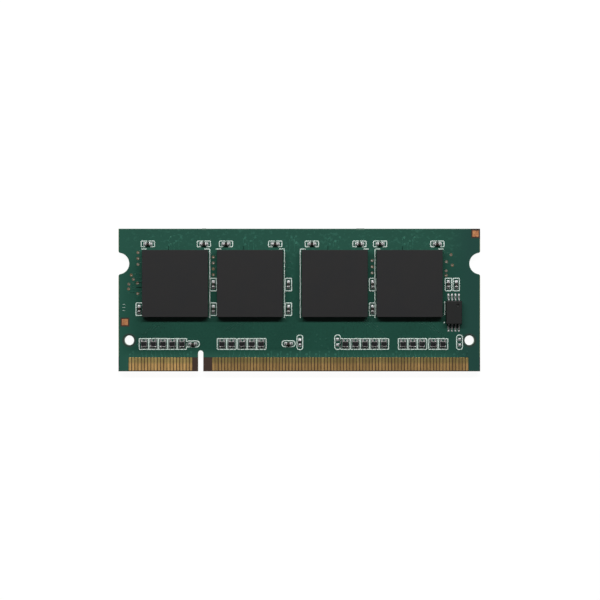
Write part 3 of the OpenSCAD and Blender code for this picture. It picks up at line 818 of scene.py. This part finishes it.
def swept(name, lines, z, width, height, material, crown):
    """One piece of strips along drawn lines. Each line is (points, closed)."""
    vertices, edges = [], []
    for points, closed in lines:
        first = len(vertices)
        vertices += [(x, y, z) for x, y in points]
        edges += [(first + k, first + k + 1) for k in range(len(points) - 1)]
        if closed:
            edges.append((len(vertices) - 1, first))
    return grown(name, drawn_mesh(vertices, edges), strip_tree,
                 {"Width": width, "Height": height, "Bend radius": width * 0.6, "Crown": crown,
                  "Material": material})


def joined(name, pieces):
    """Several pieces of one finish as one."""
    mesh = bmesh.new()
    for piece in pieces:
        mesh.from_mesh(piece.data)
    made = new_object(name, pieces[0].data.copy())
    mesh.to_mesh(made.data)
    mesh.free()
    for piece in pieces:
        bpy.data.objects.remove(piece)
    return made


def deliver(piece, slot, *replaced):
    """Hands a finished piece to the frame."""
    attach(piece, BODY)
    if replaced:
        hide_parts(*replaced)


def dress(material, *nodes):
    """Gives CAD nodes their finish."""
    for node in nodes:
        frame["nodes"][node].material_slots[0].material = material


# ---- contacts -------------------------------------------------------------------------------


def contact_shape(contacts):
    mesh = bmesh.new()
    outline = rounded(CONTACT.size.x, CONTACT.size.y, contacts.corner_r, steps=2)
    add_prism(mesh, outline, 0, CONTACT.size.z, contacts.edge_r)
    return finished(mesh)


def contact_row(side, row, contacts):
    """One row of contacts on one face."""
    boxes = CONTACTS[side][row]
    first = boxes[0]
    piece = grown(f"{side}_{row}_contact_row", drawn_mesh([(0, 0, 0)]), row_tree, {
        "Part": new_object("template", contact_shape(contacts)), "Count": len(boxes),
        "Pitch": boxes[1].middle.x - first.middle.x,
        "First": (first.middle.x, first.middle.y, foot_z(first, side)),
        "Turn": (FLIP[side], 0.0, 0.0),
        "Material": finish("contact_gold", gold_finish, contacts)})
    deliver(piece, "gold_plating", f"{side}_{row}_contacts")


# ---- traces under the mask ------------------------------------------------------------------


def land_reach(side):
    """How far the lands of an array reach from its middle."""
    first = ARRAYS[side].boxes[0]
    near = [b for b in LANDS[side] if b.over(first)]
    return max(b.high.y for b in near) - first.middle.y


def terminal_places(parts):
    return [box.middle.x + s * parts.end_pitch / 2 for box in parts.boxes for s in (-1, 1)]


def contact_traces(side):
    """From the contacts to the arrays' lower terminals, with a jog. Other contacts end in a covered via."""
    straight, stub, stagger = 0.35 * MM, 0.55, 0.45
    start = CONTACT.high.y + 0.02 * MM
    bend = start + straight
    parts = ARRAYS[side]
    land = parts.boxes[0].middle.y - land_reach(side) - TRACE_GAP
    free = [b.middle.x for row in CONTACTS[side].values() for b in row]
    lines, tents = [], []
    for x in terminal_places(parts):
        near = min(free, key=lambda c: abs(c - x))
        free.remove(near)
        lines.append([(near, start), (near, bend), (x, bend + abs(x - near)), (x, land)])
    clear = [x for x in free if all(abs(x - b.middle.x) > parts.width for b in parts.boxes)]
    for k, x in enumerate(clear):
        if k % 3 < 2:
            top = start + (stub + stagger * (k % 3)) * MM
            lines.append([(x, start), (x, top)])
            tents.append((x, top))
    return lines, tents


def bundle_traces():
    """From the front arrays' upper terminals up to the packages, each group of lines drawn closer."""
    count, pitch, shift = 10, 0.5 * MM, 1.0 * MM
    parts = ARRAYS[FRONT]
    land = parts.boxes[0].middle.y + land_reach(FRONT) + TRACE_GAP
    top = PACKAGES[0].low.y - 0.7 * MM
    places = terminal_places(parts)
    lines = []
    for k in range(0, len(places), count):
        group = places[k:k + count]
        middle = sum(group) / len(group)
        package = min(PACKAGES, key=lambda p: abs(p.middle.x - middle)).middle.x
        middle += max(-shift, min(shift, package - middle))
        for j, x in enumerate(group):
            target = middle + (j - (count - 1) / 2) * pitch
            lines.append([(x, land), (x, top - abs(target - x)), (target, top), (target, top + MM)])
    return lines


def rear_array_traces(seed):
    """Short traces above the rear arrays, each ending in a covered via."""
    chance = random.Random(seed)
    parts = ARRAYS[REAR]
    land = parts.boxes[0].middle.y + land_reach(REAR) + TRACE_GAP
    ends = [(x, land + chance.choice((0.35, 0.8, 1.25)) * MM) for x in terminal_places(parts)]
    return [[(x, land), (x, y)] for x, y in ends], ends


def rear_bus(seed):
    """Pairs of long lines between the rows of covered vias behind the packages."""
    rows, half_gap, stagger = 4, 0.17, 1.1
    chance = random.Random(seed)
    middle = PACKAGES[0].middle.y
    lines, tents = [], []
    for row in range(-rows, rows):
        for side in (-1, 1):
            y = middle + (row + 0.5 + half_gap * side) * MM
            stops = [chance.choice(PACKAGES[:2]).middle.x, chance.choice(PACKAGES[2:]).middle.x]
            line = [(x + chance.uniform(-stagger, stagger) * MM, y) for x in stops]
            lines.append(line)
            tents += line
    return lines, tents


def via_traces():
    """From every via beside the packages to the nearest package edge, with a jog."""
    jog, rise = 0.35 * MM, 0.3 * MM
    lines = []
    row = around(PACKAGES)
    for via in VIAS:
        x, y = via.middle.x, via.middle.y
        near = min(PACKAGES, key=lambda p: max(p.low.x - x, x - p.high.x, 0))
        if y > row.high.y:
            lines.append([(x, y), (x - jog, y - jog), (x - jog, row.high.y - rise)])
        elif y > row.low.y:
            side = 1 if near.middle.x > x else -1
            edge = near.low.x if side > 0 else near.high.x
            lines.append([(x, y), (x + side * rise, y + rise), (edge + side * rise, y + rise)])
    return lines


def ball_vias():
    """Covered vias behind the packages, one diagonally beside each ball."""
    balls = [b for i in PACKAGE_NUMBERS for b in solids(f"dram_{i}_balls")]
    return [(b.middle.x + 0.4 * MM, b.middle.y + 0.5 * MM) for b in balls]


def tent_shape(width):
    """A shallow bump of mask over a via, dimpled in its middle."""
    mesh = bmesh.new()
    profile = ((0, -0.01), (1, -0.01), (0.78, 0.009), (0.42, 0.014), (0, 0.004))
    add_turned(mesh, [(width / 2 * share, height * MM) for share, height in profile])
    return finished(mesh, smooth=60)


def draw_side(side, board, lines, tents):
    """The mask's ridges over the traces of one face, and its bumps over the covered vias."""
    material = finish("green_mask_over_copper", mask_finish, board.mask_copper, lift=2.2, ring=board.ring)
    ridges = swept(f"{side}_trace_ridges", [(line, False) for line in lines], FACE[side],
                   board.ridge_w, 2 * board.ridge_h, material, True)
    deliver(ridges, "solder_mask")
    places = [((x, y, FACE[side]), (FLIP[side], 0.0, 0.0)) for x, y in tents]
    deliver(scattered(f"{side}_via_tents", tent_shape(board.tent_w), places, material), "solder_mask")


# ---- printed outlines -----------------------------------------------------------------------

CORNER = 0.12 * MM


def cap_outline(box, side):
    """A capacitor's outline: plain where it stands upright, round-ended between the arrays, and in
    the long rows notched in its top and open along the middle of its lower side."""
    closed = True
    if upright(box):
        shape = rounded(2.35 * MM, 1.18 * MM, CORNER)
    elif box.middle.y < ARRAYS[side].boxes[0].high.y:
        shape = rounded(2.45 * MM, 1.13 * MM, 0.5 * MM, steps=5)
    else:
        closed = False
        low, gap, notch_r, corner = -0.54 * MM, 0.5 * MM, 0.17 * MM, 4
        around_it = rounded(2.5 * MM, -2 * low, 0.16 * MM, corner - 1)
        notch = [(notch_r, -low), (0, -low - notch_r), (-notch_r, -low)]
        shape = [(gap, low), *around_it[3 * corner:], *around_it[:corner], *notch,
                 *around_it[corner:3 * corner], (-gap, low)]
    return moved(shape, box.middle, upright(box)), closed


def array_outlines(parts, ink):
    """One outline around each run of arrays, and the lines between neighbours."""
    reach = land_reach(parts.side) + 0.05 * MM + ink.line_w / 2
    inner = reach - ink.line_w / 2 + 0.01 * MM
    y = parts.boxes[0].middle.y
    pitch = parts.boxes[1].middle.x - parts.boxes[0].middle.x
    runs = []
    for box in parts.boxes:
        if runs and box.middle.x - runs[-1][-1] < pitch * 1.03:
            runs[-1].append(box.middle.x)
        else:
            runs.append([box.middle.x])
    outlines, dividers = [], []
    for run in runs:
        width = run[-1] - run[0] + pitch
        middle = (run[-1] + run[0]) / 2
        outlines.append((moved(rounded(width, 2 * reach, CORNER), (middle, y)), True))
        dividers += [([(x + pitch / 2, y - inner), (x + pitch / 2, y + inner)], False) for x in run[:-1]]
    return outlines, dividers


def package_lines():
    """A line along one side of each memory package, and a short bar at each of its upper corners."""
    gap, bar = 0.26 * MM, 1.0 * MM
    lines = []
    for k, package in enumerate(PACKAGES):
        x, y = package.size.x / 2 + gap, package.size.y / 2 + 0.2 * MM
        side = 1 if k < 2 else -1
        for line in ([(x - bar, y), (x, y), (x, -y)], [(-x, y), (bar - x, y)]):
            lines.append((moved([(side * px, py) for px, py in line], package.middle), False))
    return lines


def chip_lines():
    """The settings chip's side line and tick."""
    x, y = CHIP.low.x - 0.15 * MM, CHIP.middle.y
    return [([(x, y + 2.1 * MM), (x, y - 0.5 * MM)], False),
            ([(x - 0.2 * MM, y - 2.0 * MM), (x + 0.05 * MM, y - 1.75 * MM)], False)]


def side_dashes():
    """Three short dashes near the left edge."""
    half, drop, pitch = 0.25 * MM, 3.87, 0.59
    x, y = BOARD.low.x + 1.0 * MM, PACKAGES[0].middle.y
    heights = [y - (drop + pitch * k) * MM for k in range(3)]
    return [([(x - half, height), (x + half, height)], False) for height in heights]


def empty_lands():
    """Lands that no part covers."""
    parts = [*CAPACITORS[FRONT].boxes, *ARRAYS[FRONT].boxes, *RESISTOR.boxes, *LEADS, *PACKAGES]
    return [land for land in LANDS[FRONT] if not any(land.over(box) for box in parts)]


def upright_outlines():
    """Round-ended outlines around the resistor and the places left empty."""
    spare = empty_lands()
    middles = {round(b.middle.x, 5): [] for b in spare}
    for land in spare:
        middles[round(land.middle.x, 5)].append(land)
    boxes = [around(pair) for pair in middles.values()] + RESISTOR.boxes
    shape = rounded(1.07 * MM, 2.7 * MM, 0.42 * MM, steps=5)
    return [(moved(shape, box.middle), True) for box in boxes]


def printed_lines(side, ink):
    """All printed lines of one face, as (width, lines) pairs."""
    outlines, dividers = array_outlines(ARRAYS[side], ink)
    outlines += [cap_outline(box, side) for box in CAPACITORS[side].boxes]
    drawn = [(ink.line_w, outlines), (ink.line_w * ink.divider, dividers)]
    if side == FRONT:
        outlines += package_lines() + chip_lines() + upright_outlines()
        drawn.append((ink.line_w * ink.fine, side_dashes()))
    for box in CAPACITORS[side].boxes:
        if box.middle.y > PACKAGES[0].high.y and not upright(box):
            x, y = box.middle.x, box.middle.y
            dividers.append(([(x, y + 0.36 * MM), (x, y + 0.6 * MM)], False))
    return drawn


# ---- small parts ----------------------------------------------------------------------------


def chip_body_shape(parts):
    """Ceramic between and inside the terminals of a two-ended part."""
    mesh = bmesh.new()
    x, y = parts.length / 2 - parts.end_l * 0.7, parts.width / 2 - 0.015 * MM
    add_block(mesh, (-x, -y, 0.02 * MM), (x, y, parts.height - 0.02 * MM), 0.03 * MM)
    return finished(mesh)


def chip_end_shape(parts, radius):
    """Both wrapped terminals of a two-ended part."""
    mesh = bmesh.new()
    outer, inner, y = parts.length / 2, parts.length / 2 - parts.end_l, parts.width / 2
    add_block(mesh, (inner, -y, 0), (outer, y, parts.height), radius)
    add_block(mesh, (-outer, -y, 0), (-inner, y, parts.height), radius)
    return finished(mesh)


def array_body_shape(parts):
    """Ceramic of an array, scalloped between its terminals."""
    mesh = bmesh.new()
    x, y = parts.width / 2, parts.length / 2 - 0.02 * MM
    scallop = (parts.end_pitch - parts.end_w) / 2 - 0.06 * MM
    half = [(x, -y), (x, y), *arc((0, y), scallop, 0, -180, steps=6)]
    outline = half + [(-px, -py) for px, py in half]
    add_prism(mesh, outline, 0.02 * MM, parts.height - 0.03 * MM, 0.02 * MM, segments=1)
    return finished(mesh)


def array_end_shape(parts, radius):
    """The four wrapped terminals of an array."""
    mesh = bmesh.new()
    for sx in (-1, 1):
        for sy in (-1, 1):
            x = sx * parts.end_pitch / 2
            y = sorted((sy * parts.length / 2, sy * (parts.length / 2 - parts.end_l)))
            add_block(mesh, (x - parts.end_w / 2, y[0], 0), (x + parts.end_w / 2, y[1], parts.height), radius)
    return finished(mesh)


def glaze_shape(parts, width, height):
    """A thin coating with round corners and a soft rim."""
    mesh = bmesh.new()
    add_prism(mesh, rounded(width, height, 0.1 * MM), parts.height - 0.05 * MM, parts.height, 0.02 * MM)
    return finished(mesh, smooth=60)


def place_parts(parts, kind, node, shape, material, slot, settings):
    """Puts a shape at the place of every part, as the piece that stands for a CAD node."""
    piece = scattered(f"{parts.name}_{kind}", shape, parts.places(), material, settings.askew, settings.seed)
    deliver(piece, slot, f"{parts.name}_{node}")


# ---- solder ---------------------------------------------------------------------------------


def add_fillet(mesh, width, under, climb, toe, foot, at, turn):
    """Adds the solder of one terminal that ends at a place: a layer under it, and a concave fillet
    that climbs its end and falls away towards both sides."""
    ribs, steps, tuck = 5, 5, 0.03 * MM
    rows = []
    for i in range(ribs):
        across = 2 * i / (ribs - 1) - 1
        droop = 1 - 0.45 * across ** 4
        section = [(-under, 0.0), (-under, -foot)]
        for k in range(steps + 1):
            a = math.pi / 2 * k / steps
            section.append((toe * droop * (1 - math.sin(a)),
                            (climb * droop + foot) * (1 - math.cos(a)) - foot))
        section += [(-tuck, climb * droop), (-tuck, 0.0)]
        row = []
        for out, up in section:
            place = moved([(out, across * width / 2)], at, turn)[0]
            row.append(mesh.verts.new((place[0], place[1], up)))
        rows.append(row)
    add_skin(mesh, rows)
    mesh.faces.new(rows[0])
    mesh.faces.new(rows[-1][::-1])


def fillet_shape(ends, width, under, climb, settings, foot):
    """The fillets of one part, from the places and turns of its terminals' ends."""
    mesh = bmesh.new()
    for at, turn in ends:
        add_fillet(mesh, width, under, climb, settings.toe, foot, at, turn)
    return finished(mesh, smooth=50)


def part_fillets(parts, settings, foot):
    """The fillets of a two-ended part, or of an array."""
    if parts in ARRAYS.values():
        width = parts.end_w
        ends = [((sx * parts.end_pitch / 2, sy * parts.length / 2), sy * math.pi / 2)
                for sx in (-1, 1) for sy in (-1, 1)]
    else:
        width = parts.width
        ends = [((parts.length / 2, 0), 0), ((-parts.length / 2, 0), math.pi)]
    return fillet_shape(ends, width, parts.end_l, parts.height * 0.6, settings, foot)


def lead_fillets(settings, foot):
    """Solder at the settings chip's feet, drawn in place."""
    middle = CHIP.middle
    ends = []
    for lead in LEADS:
        side = 1 if lead.middle.y > middle.y else -1
        tip = lead.high.y if side > 0 else lead.low.y
        ends.append(((lead.middle.x - middle.x, tip - middle.y), side * math.pi / 2))
    return fillet_shape(ends, LEADS[0].size.x * 1.15, 0.6 * MM, 0.1 * MM, settings, foot)


def solder_side(side, settings, metal):
    """All the solder of one face."""
    kinds = [CAPACITORS[side], ARRAYS[side]]
    if side == FRONT:
        kinds.insert(1, RESISTOR)
    foot = abs(CAPACITORS[side].underside - face_z(LANDS[side][0], side))
    shapes = [(part_fillets(parts, settings, foot), parts.places()) for parts in kinds]
    if side == FRONT:
        place = (CHIP.middle.x, CHIP.middle.y, LEADS[0].low.z)
        shapes.append((lead_fillets(settings, foot), [(place, (0, 0, 0))]))
    pieces = [scattered(f"solder_{k}", shape, places, metal) for k, (shape, places) in enumerate(shapes)]
    deliver(joined(f"{side}_solder_fillets", pieces), "solder", f"{side}_solder")


def bare_land_bumps(metal):
    """Solder domed on the lands of the empty places."""
    lands = empty_lands()
    mesh = bmesh.new()
    margin = 0.04 * MM
    outline = rounded(lands[0].size.x - margin, lands[0].size.y - margin, CORNER)
    layers = ((1.0, -0.01), (1.0, 0.02), (0.86, 0.07), (0.55, 0.105))
    rings = [add_ring(mesh, [(x * s, y * s) for x, y in outline], z * MM) for s, z in layers]
    add_skin(mesh, rings)
    mesh.faces.new(rings[0][::-1])
    mesh.faces.new(rings[-1])
    places = [((b.middle.x, b.middle.y, b.high.z), (0, 0, 0)) for b in lands]
    deliver(scattered("bare_land_solder", finished(mesh, smooth=50), places, metal), "solder")


# ---- settings chip --------------------------------------------------------------------------


def chip_moulding_shape(packages):
    """Moulding of the settings chip: drafted sides, soft edges and a dimple beside its first lead."""
    mesh = bmesh.new()
    draft, soft = 0.1 * MM, 0.04 * MM
    low, high, middle = CHIP.low.z, CHIP.high.z, CHIP.middle
    rims = ((draft + soft, low), (draft, low + soft / 2), (0, middle.z), (draft, high - soft / 2),
            (draft + soft, high))
    rings = []
    for inset, z in rims:
        outline = rounded(CHIP.size.x - 2 * inset, CHIP.size.y - 2 * inset, 0.08 * MM, steps=2)
        rings.append(add_ring(mesh, moved(outline, middle), z))
    add_skin(mesh, rings)
    mesh.faces.new(rings[0][::-1])
    place = (middle.x + CHIP.size.x * 0.22, middle.y + CHIP.size.y * 0.3)
    r, depth, steps = packages.dimple_r, packages.dimple_depth, 20
    bowl = [add_ring(mesh, arc(place, r * share, 0, 360 - 360 / steps, steps - 1), high - drop * depth)
            for share, drop in ((1.0, 0.0), (0.85, 0.75), (0.5, 1.0))]
    add_skin(mesh, bowl)
    mesh.faces.new(bowl[-1])
    rims = [mesh.edges.get((ring[k - 1], ring[k])) for ring in (rings[-1], bowl[0]) for k in range(len(ring))]
    bmesh.ops.triangle_fill(mesh, edges=rims, use_beauty=True)
    return finished(mesh, smooth=30)


# ---- break-off scars ------------------------------------------------------------------------

SCARS = ((16.0, 0.8), (45.2, 1.6))      # from the left side, and width, in millimetres
FIBRE_PITCH = 0.08                      # in millimetres


def fibre_shape(board):
    """Torn glass fibres along the free edge where the board was broken off its panel."""
    chance = random.Random(board.seed)
    mesh = bmesh.new()
    edge, low, high = BOARD.high.y, BOARD.low.z, BOARD.high.z
    margin, sunk, root = 0.06, 0.01 * MM, 0.05 * MM
    for left, width in SCARS:
        columns, rows = round(width / FIBRE_PITCH), 9
        x0 = BOARD.low.x + (left - width / 2) * MM
        sheets = [[], []]
        for i in range(columns + 1):
            for j in range(rows + 1):
                x = x0 + width * MM * i / columns
                z = low + (high - low) * (margin + (1 - 2 * margin) * j / rows)
                inside = 0 < i < columns and 0 < j < rows
                out = board.fibre * chance.uniform(0.15, 1.0) if inside else -sunk
                sheets[0].append(mesh.verts.new((x, edge + out, z)))
                sheets[1].append(mesh.verts.new((x, edge - root, z)))
        rim = [(i, 0) for i in range(columns)] + [(columns, j) for j in range(rows)]
        rim += [(i, rows) for i in range(columns, 0, -1)] + [(0, j) for j in range(rows, 0, -1)]
        for i in range(columns):
            for j in range(rows):
                corners = [(i + a) * (rows + 1) + j + b for a, b in ((0, 0), (1, 0), (1, 1), (0, 1))]
                mesh.faces.new([sheets[0][c] for c in corners])
                mesh.faces.new([sheets[1][c] for c in corners[::-1]])
        add_skin(mesh, [[sheet[i * (rows + 1) + j] for i, j in rim] for sheet in sheets])
    return finished(mesh, smooth=20)


# ---- stage ----------------------------------------------------------------------------------

LAMP_REACH = 0.6                # from the board to a lamp
FLOOR_HALF = 3.0                # half the floor's width
FLOOR_DROP = 0.005 * MM         # keeps the floor clear of the parts that stand on it


def floor_material(stage):
    """A pale floor that looks nearly white, keeps the object's shadow, and can be seen through
    from below."""
    made = Finish("pale_floor")
    made.nodes.remove(made.surface)
    rays = made.node("ShaderNodeLightPath").outputs
    ground = made.node("ShaderNodeBsdfDiffuse", {"Color": (0.8, 0.8, 0.8)}).outputs[0]
    thin = made.node("ShaderNodeBsdfDiffuse", {"Color": (0.09, 0.09, 0.09)}).outputs[0]
    glow = made.node("ShaderNodeEmission", {"Strength": stage.floor}).outputs[0]
    seen = made.node("ShaderNodeAddShader", {0: thin, 1: glow}).outputs[0]
    shown = made.math("MAXIMUM", made.math("MAXIMUM", rays["Is Camera Ray"], rays["Is Glossy Ray"]),
                      rays["Is Transmission Ray"])
    face = made.mixed(shown, ground, seen)
    under = made.node("ShaderNodeNewGeometry").outputs["Backfacing"]
    clear = made.node("ShaderNodeBsdfTransparent").outputs[0]
    through = made.math("MAXIMUM", under, rays["Is Shadow Ray"])
    made.feed(made.nodes["Material Output"].inputs["Surface"], made.mixed(through, face, clear))
    return made.material


def make_world(stage):
    """White behind the object, a low even light on it, and in its reflections a soft grey sky that
    is brightest beyond the free edge."""
    world = bpy.data.worlds.new("studio")
    world.use_nodes = True
    made = Graph(world.node_tree)
    made.nodes.clear()

    def shine(strength):
        return made.node("ShaderNodeBackground", {"Strength": strength}).outputs[0]

    rays = made.node("ShaderNodeLightPath").outputs
    direction = made.node("ShaderNodeTexCoord").outputs["Generated"]
    north = made.node("ShaderNodeSeparateXYZ", {0: direction}).outputs[1]
    sky = made.between(north, 0.06, 0.8, at=(-0.2, 0.8))
    gloss = made.math("MAXIMUM", rays["Is Glossy Ray"], rays["Is Transmission Ray"])
    lit = made.mixed(gloss, shine(stage.fill), shine(sky))
    made.node("ShaderNodeOutputWorld", {"Surface": made.mixed(rays["Is Camera Ray"], lit, shine(1.0))})
    bpy.context.scene.world = world


def make_lamp(name, direction, width, height, share):
    """An area lamp that aims at the board and gives this share of full brightness on a face
    that looks up, or down for a lamp below. The ends of a wide lamp are further off and aslant, so
    it gets more power."""
    data = bpy.data.lights.new(name, "AREA")
    data.shape = "RECTANGLE"
    data.size, data.size_y = width, height
    spread = width / 2 / LAMP_REACH
    falloff = (spread / (1 + spread ** 2) + math.atan(spread)) / 2 / spread
    data.energy = share * (math.pi * LAMP_REACH) ** 2 / abs(direction.z) / falloff
    lamp = new_object(name, data)
    lamp.location = direction * LAMP_REACH
    lamp.rotation_euler = direction.to_track_quat("Z", "Y").to_euler()
    lamp.visible_camera = False


def make_camera(stage):
    sensor = 36.0
    data = bpy.data.cameras.new("camera")
    data.lens, data.sensor_width = stage.lens, sensor
    data.clip_start = 0.01
    camera = new_object("camera", data)
    camera.location = (stage.aside, BOARD.middle.y, FACE[FRONT] + stage.view_w * stage.lens / sensor)
    bpy.context.scene.camera = camera


# ---- operators ------------------------------------------------------------------------------


class MODULE_OT_board(bpy.types.Operator):
    """Finish the laminates, planes, mask, vias, marks and lands"""

    bl_idname = "module.board"
    bl_label = "Board"

    def execute(self, context):
        board, parts = context.scene.module_board, context.scene.module_parts
        dress(finish("glass_epoxy", laminate_finish, board), "core_laminate", "front_ply", "rear_ply")
        film = finish("green_mask", mask_finish, board.mask, lift=1.45, ring=board.ring)
        dress(film, "front_solder_mask", "rear_solder_mask")
        stain = toned(board.copper, 0.72, 0.62, 0.7)
        copper = finish("bare_copper", copper_finish, board.copper, stain, patches=2.2, rough=0.40)
        dress(copper, "ground_plane", "power_plane", "alignment_marks")
        dull = finish("via_copper", copper_finish, board.via, board.via_stain, patches=0.7, rough=0.45)
        dress(dull, "plated_vias")
        dress(tin(parts), "front_lands", "rear_lands")
        torn = finish("torn_fibres", covered_finish, board.torn, rough=0.7)
        deliver(new_object("break_off_fibres", fibre_shape(board), torn), "laminate")
        return {"FINISHED"}


class MODULE_OT_traces(bpy.types.Operator):
    """Raise the mask over the traces and covered vias of both faces"""

    bl_idname = "module.traces"
    bl_label = "Traces"

    def execute(self, context):
        board = context.scene.module_board
        covered = [(v.middle.x, v.middle.y) for v in VIAS if v.size.x < max(w.size.x for w in VIAS) * 0.9]
        lines, tents = contact_traces(FRONT)
        draw_side(FRONT, board, lines + bundle_traces() + via_traces(), tents + covered)
        lines, tents = contact_traces(REAR)
        short, ends = rear_array_traces(board.seed)
        bus, stops = rear_bus(board.seed)
        draw_side(REAR, board, lines + short + bus, tents + ends + stops + covered + ball_vias())
        return {"FINISHED"}


class MODULE_OT_contacts(bpy.types.Operator):
    """Make the gold edge contacts of both faces"""

    bl_idname = "module.contacts"
    bl_label = "Contacts"

    def execute(self, context):
        for side in SIDES:
            for row in ROWS:
                contact_row(side, row, context.scene.module_contacts)
        return {"FINISHED"}


class MODULE_OT_outlines(bpy.types.Operator):
    """Print the outlines around the parts of both faces"""

    bl_idname = "module.outlines"
    bl_label = "Printed outlines"

    def execute(self, context):
        ink = context.scene.module_ink
        material = finish("outline_ink", ink_finish, ink)
        for side in SIDES:
            z = FACE[side] + OUT[side] * ink.line_h * 0.4
            strips = [swept(f"strips_{k}", lines, z, width, ink.line_h, material, False)
                      for k, (width, lines) in enumerate(printed_lines(side, ink))]
            deliver(joined(f"{side}_outlines", strips), "solder_mask")
        return {"FINISHED"}


class MODULE_OT_capacitors(bpy.types.Operator):
    """Make the capacitors of both faces"""

    bl_idname = "module.capacitors"
    bl_label = "Capacitors"

    def execute(self, context):
        settings = context.scene.module_parts
        clay = finish("capacitor_ceramic", ceramic_finish, settings.tan, dark=0.75)
        for parts in CAPACITORS.values():
            place_parts(parts, "bodies", "ceramics", chip_body_shape(parts), clay, "capacitor_ceramic",
                        settings)
            place_parts(parts, "ends", "terminals", chip_end_shape(parts, settings.edge_r),
                        tin(settings), "tin_terminal", settings)
        return {"FINISHED"}


class MODULE_OT_resistors(bpy.types.Operator):
    """Make the resistor arrays of both faces and the single resistor"""

    bl_idname = "module.resistors"
    bl_label = "Resistors and arrays"

    def execute(self, context):
        settings = context.scene.module_parts
        white = finish("white_ceramic", ceramic_finish, settings.white, dark=0.88)
        glaze = finish("black_glaze", glaze_finish, settings.glaze)
        edge_r = settings.edge_r * 0.8
        for parts in ARRAYS.values():
            coat = glaze_shape(parts, parts.width - 0.06 * MM, parts.length - 1.9 * parts.end_l)
            place_parts(parts, "bodies", "ceramics", array_body_shape(parts), white, "white_ceramic",
                        settings)
            place_parts(parts, "ends", "terminals", array_end_shape(parts, edge_r), tin(settings),
                        "tin_terminal", settings)
            place_parts(parts, "glaze", "coatings", coat, glaze, "black_coating", settings)
        coat = glaze_shape(RESISTOR, RESISTOR.length - 1.9 * RESISTOR.end_l, RESISTOR.width - 0.04 * MM)
        place_parts(RESISTOR, "body", "ceramic", chip_body_shape(RESISTOR), white, "white_ceramic",
                    settings)
        place_parts(RESISTOR, "ends", "terminals", chip_end_shape(RESISTOR, edge_r),
                    clean_solder(settings), "tin_terminal", settings)
        place_parts(RESISTOR, "glaze", "coating", coat, glaze, "black_coating", settings)
        return {"FINISHED"}


class MODULE_OT_solder(bpy.types.Operator):
    """Make the solder fillets, and the domed solder on the empty places"""

    bl_idname = "module.solder"
    bl_label = "Solder"

    def execute(self, context):
        settings = context.scene.module_parts
        metal = solder_metal(settings)
        for side in SIDES:
            solder_side(side, settings, metal)
        bare_land_bumps(clean_solder(settings))
        return {"FINISHED"}


class MODULE_OT_packages(bpy.types.Operator):
    """Finish the four memory packages"""

    bl_idname = "module.packages"
    bl_label = "Memory packages"

    def execute(self, context):
        packages, parts = context.scene.module_packages, context.scene.module_parts
        looks = {"moulding": finish("moulded_epoxy", moulding_finish, packages.moulding),
                 "substrate": finish("package_laminate", layered_finish, packages.laminate),
                 "die_film": finish("die_film", covered_finish, packages.film, rough=0.4),
                 "die": finish("silicon", covered_finish, packages.silicon, rough=0.15),
                 "balls": solder_metal(parts)}
        for node, material in looks.items():
            dress(material, *(f"dram_{i}_{node}" for i in PACKAGE_NUMBERS))
        return {"FINISHED"}


class MODULE_OT_settings_chip(bpy.types.Operator):
    """Make the settings chip's moulding, and finish its leads, paddle and die"""

    bl_idname = "module.settings_chip"
    bl_label = "Settings chip"

    def execute(self, context):
        packages, parts = context.scene.module_packages, context.scene.module_parts
        epoxy = finish("chip_epoxy", moulding_finish, packages.chip_moulding)
        deliver(new_object("settings_chip_moulding", chip_moulding_shape(packages), epoxy),
                "black_moulding", "eeprom_moulding")
        dress(finish("lead_tin", metal_finish, parts.bright_tin, rough=0.30, grain=9), "eeprom_leads")
        dress(finish("paddle_copper", metal_finish, packages.paddle, rough=0.35, grain=4), "eeprom_paddle")
        dress(finish("silicon", covered_finish, packages.silicon, rough=0.15), "eeprom_die")
        return {"FINISHED"}


class MODULE_OT_stage(bpy.types.Operator):
    """Set up the camera, the lamps, the floor and the surroundings"""

    bl_idname = "module.stage"
    bl_label = "Stage"

    def execute(self, context):
        stage = context.scene.module_stage
        context.scene.view_settings.view_transform = "Standard"
        make_camera(stage)
        make_world(stage)
        toward = Vector((0, math.cos(stage.key_height), math.sin(stage.key_height)))
        width, depth = [2 * LAMP_REACH * math.tan(a / 2) for a in (stage.key_spread, stage.key_depth)]
        make_lamp("key", toward, width, depth, stage.key)
        make_lamp("below", Vector((0, -0.2, -1)).normalized(), LAMP_REACH, LAMP_REACH, stage.under)
        z = CAD_BOX[0].z - FLOOR_DROP
        corners = [(x * FLOOR_HALF, y * FLOOR_HALF, z) for x, y in ((-1, -1), (1, -1), (1, 1), (-1, 1))]
        floor = new_object("floor", drawn_mesh(corners, faces=[(0, 1, 2, 3)]), floor_material(stage))
        return {"FINISHED"}


OPERATORS = (MODULE_OT_board, MODULE_OT_traces, MODULE_OT_contacts, MODULE_OT_outlines,
             MODULE_OT_capacitors, MODULE_OT_resistors, MODULE_OT_solder, MODULE_OT_packages,
             MODULE_OT_settings_chip, MODULE_OT_stage)


class MODULE_PT_panel(bpy.types.Panel):
    """Sidebar panel with a button for each group of pieces"""

    bl_idname = "MODULE_PT_panel"
    bl_label = "Memory module"
    bl_space_type = "VIEW_3D"
    bl_region_type = "UI"
    bl_category = "Module"

    def draw(self, context):
        for operator in OPERATORS:
            self.layout.operator(operator.bl_idname)


def register():
    for kind in (*SETTINGS.values(), *OPERATORS, MODULE_PT_panel):
        bpy.utils.register_class(kind)
    for name, kind in SETTINGS.items():
        setattr(bpy.types.Scene, name, PointerProperty(type=kind))


def unregister():
    for name in SETTINGS:
        delattr(bpy.types.Scene, name)
    for kind in (MODULE_PT_panel, *reversed(OPERATORS), *reversed(SETTINGS.values())):
        bpy.utils.unregister_class(kind)


def main():
    register()
    for operator in OPERATORS:
        group, action = operator.bl_idname.split(".")
        getattr(getattr(bpy.ops, group), action)()


if __name__ == "__main__":
    main()
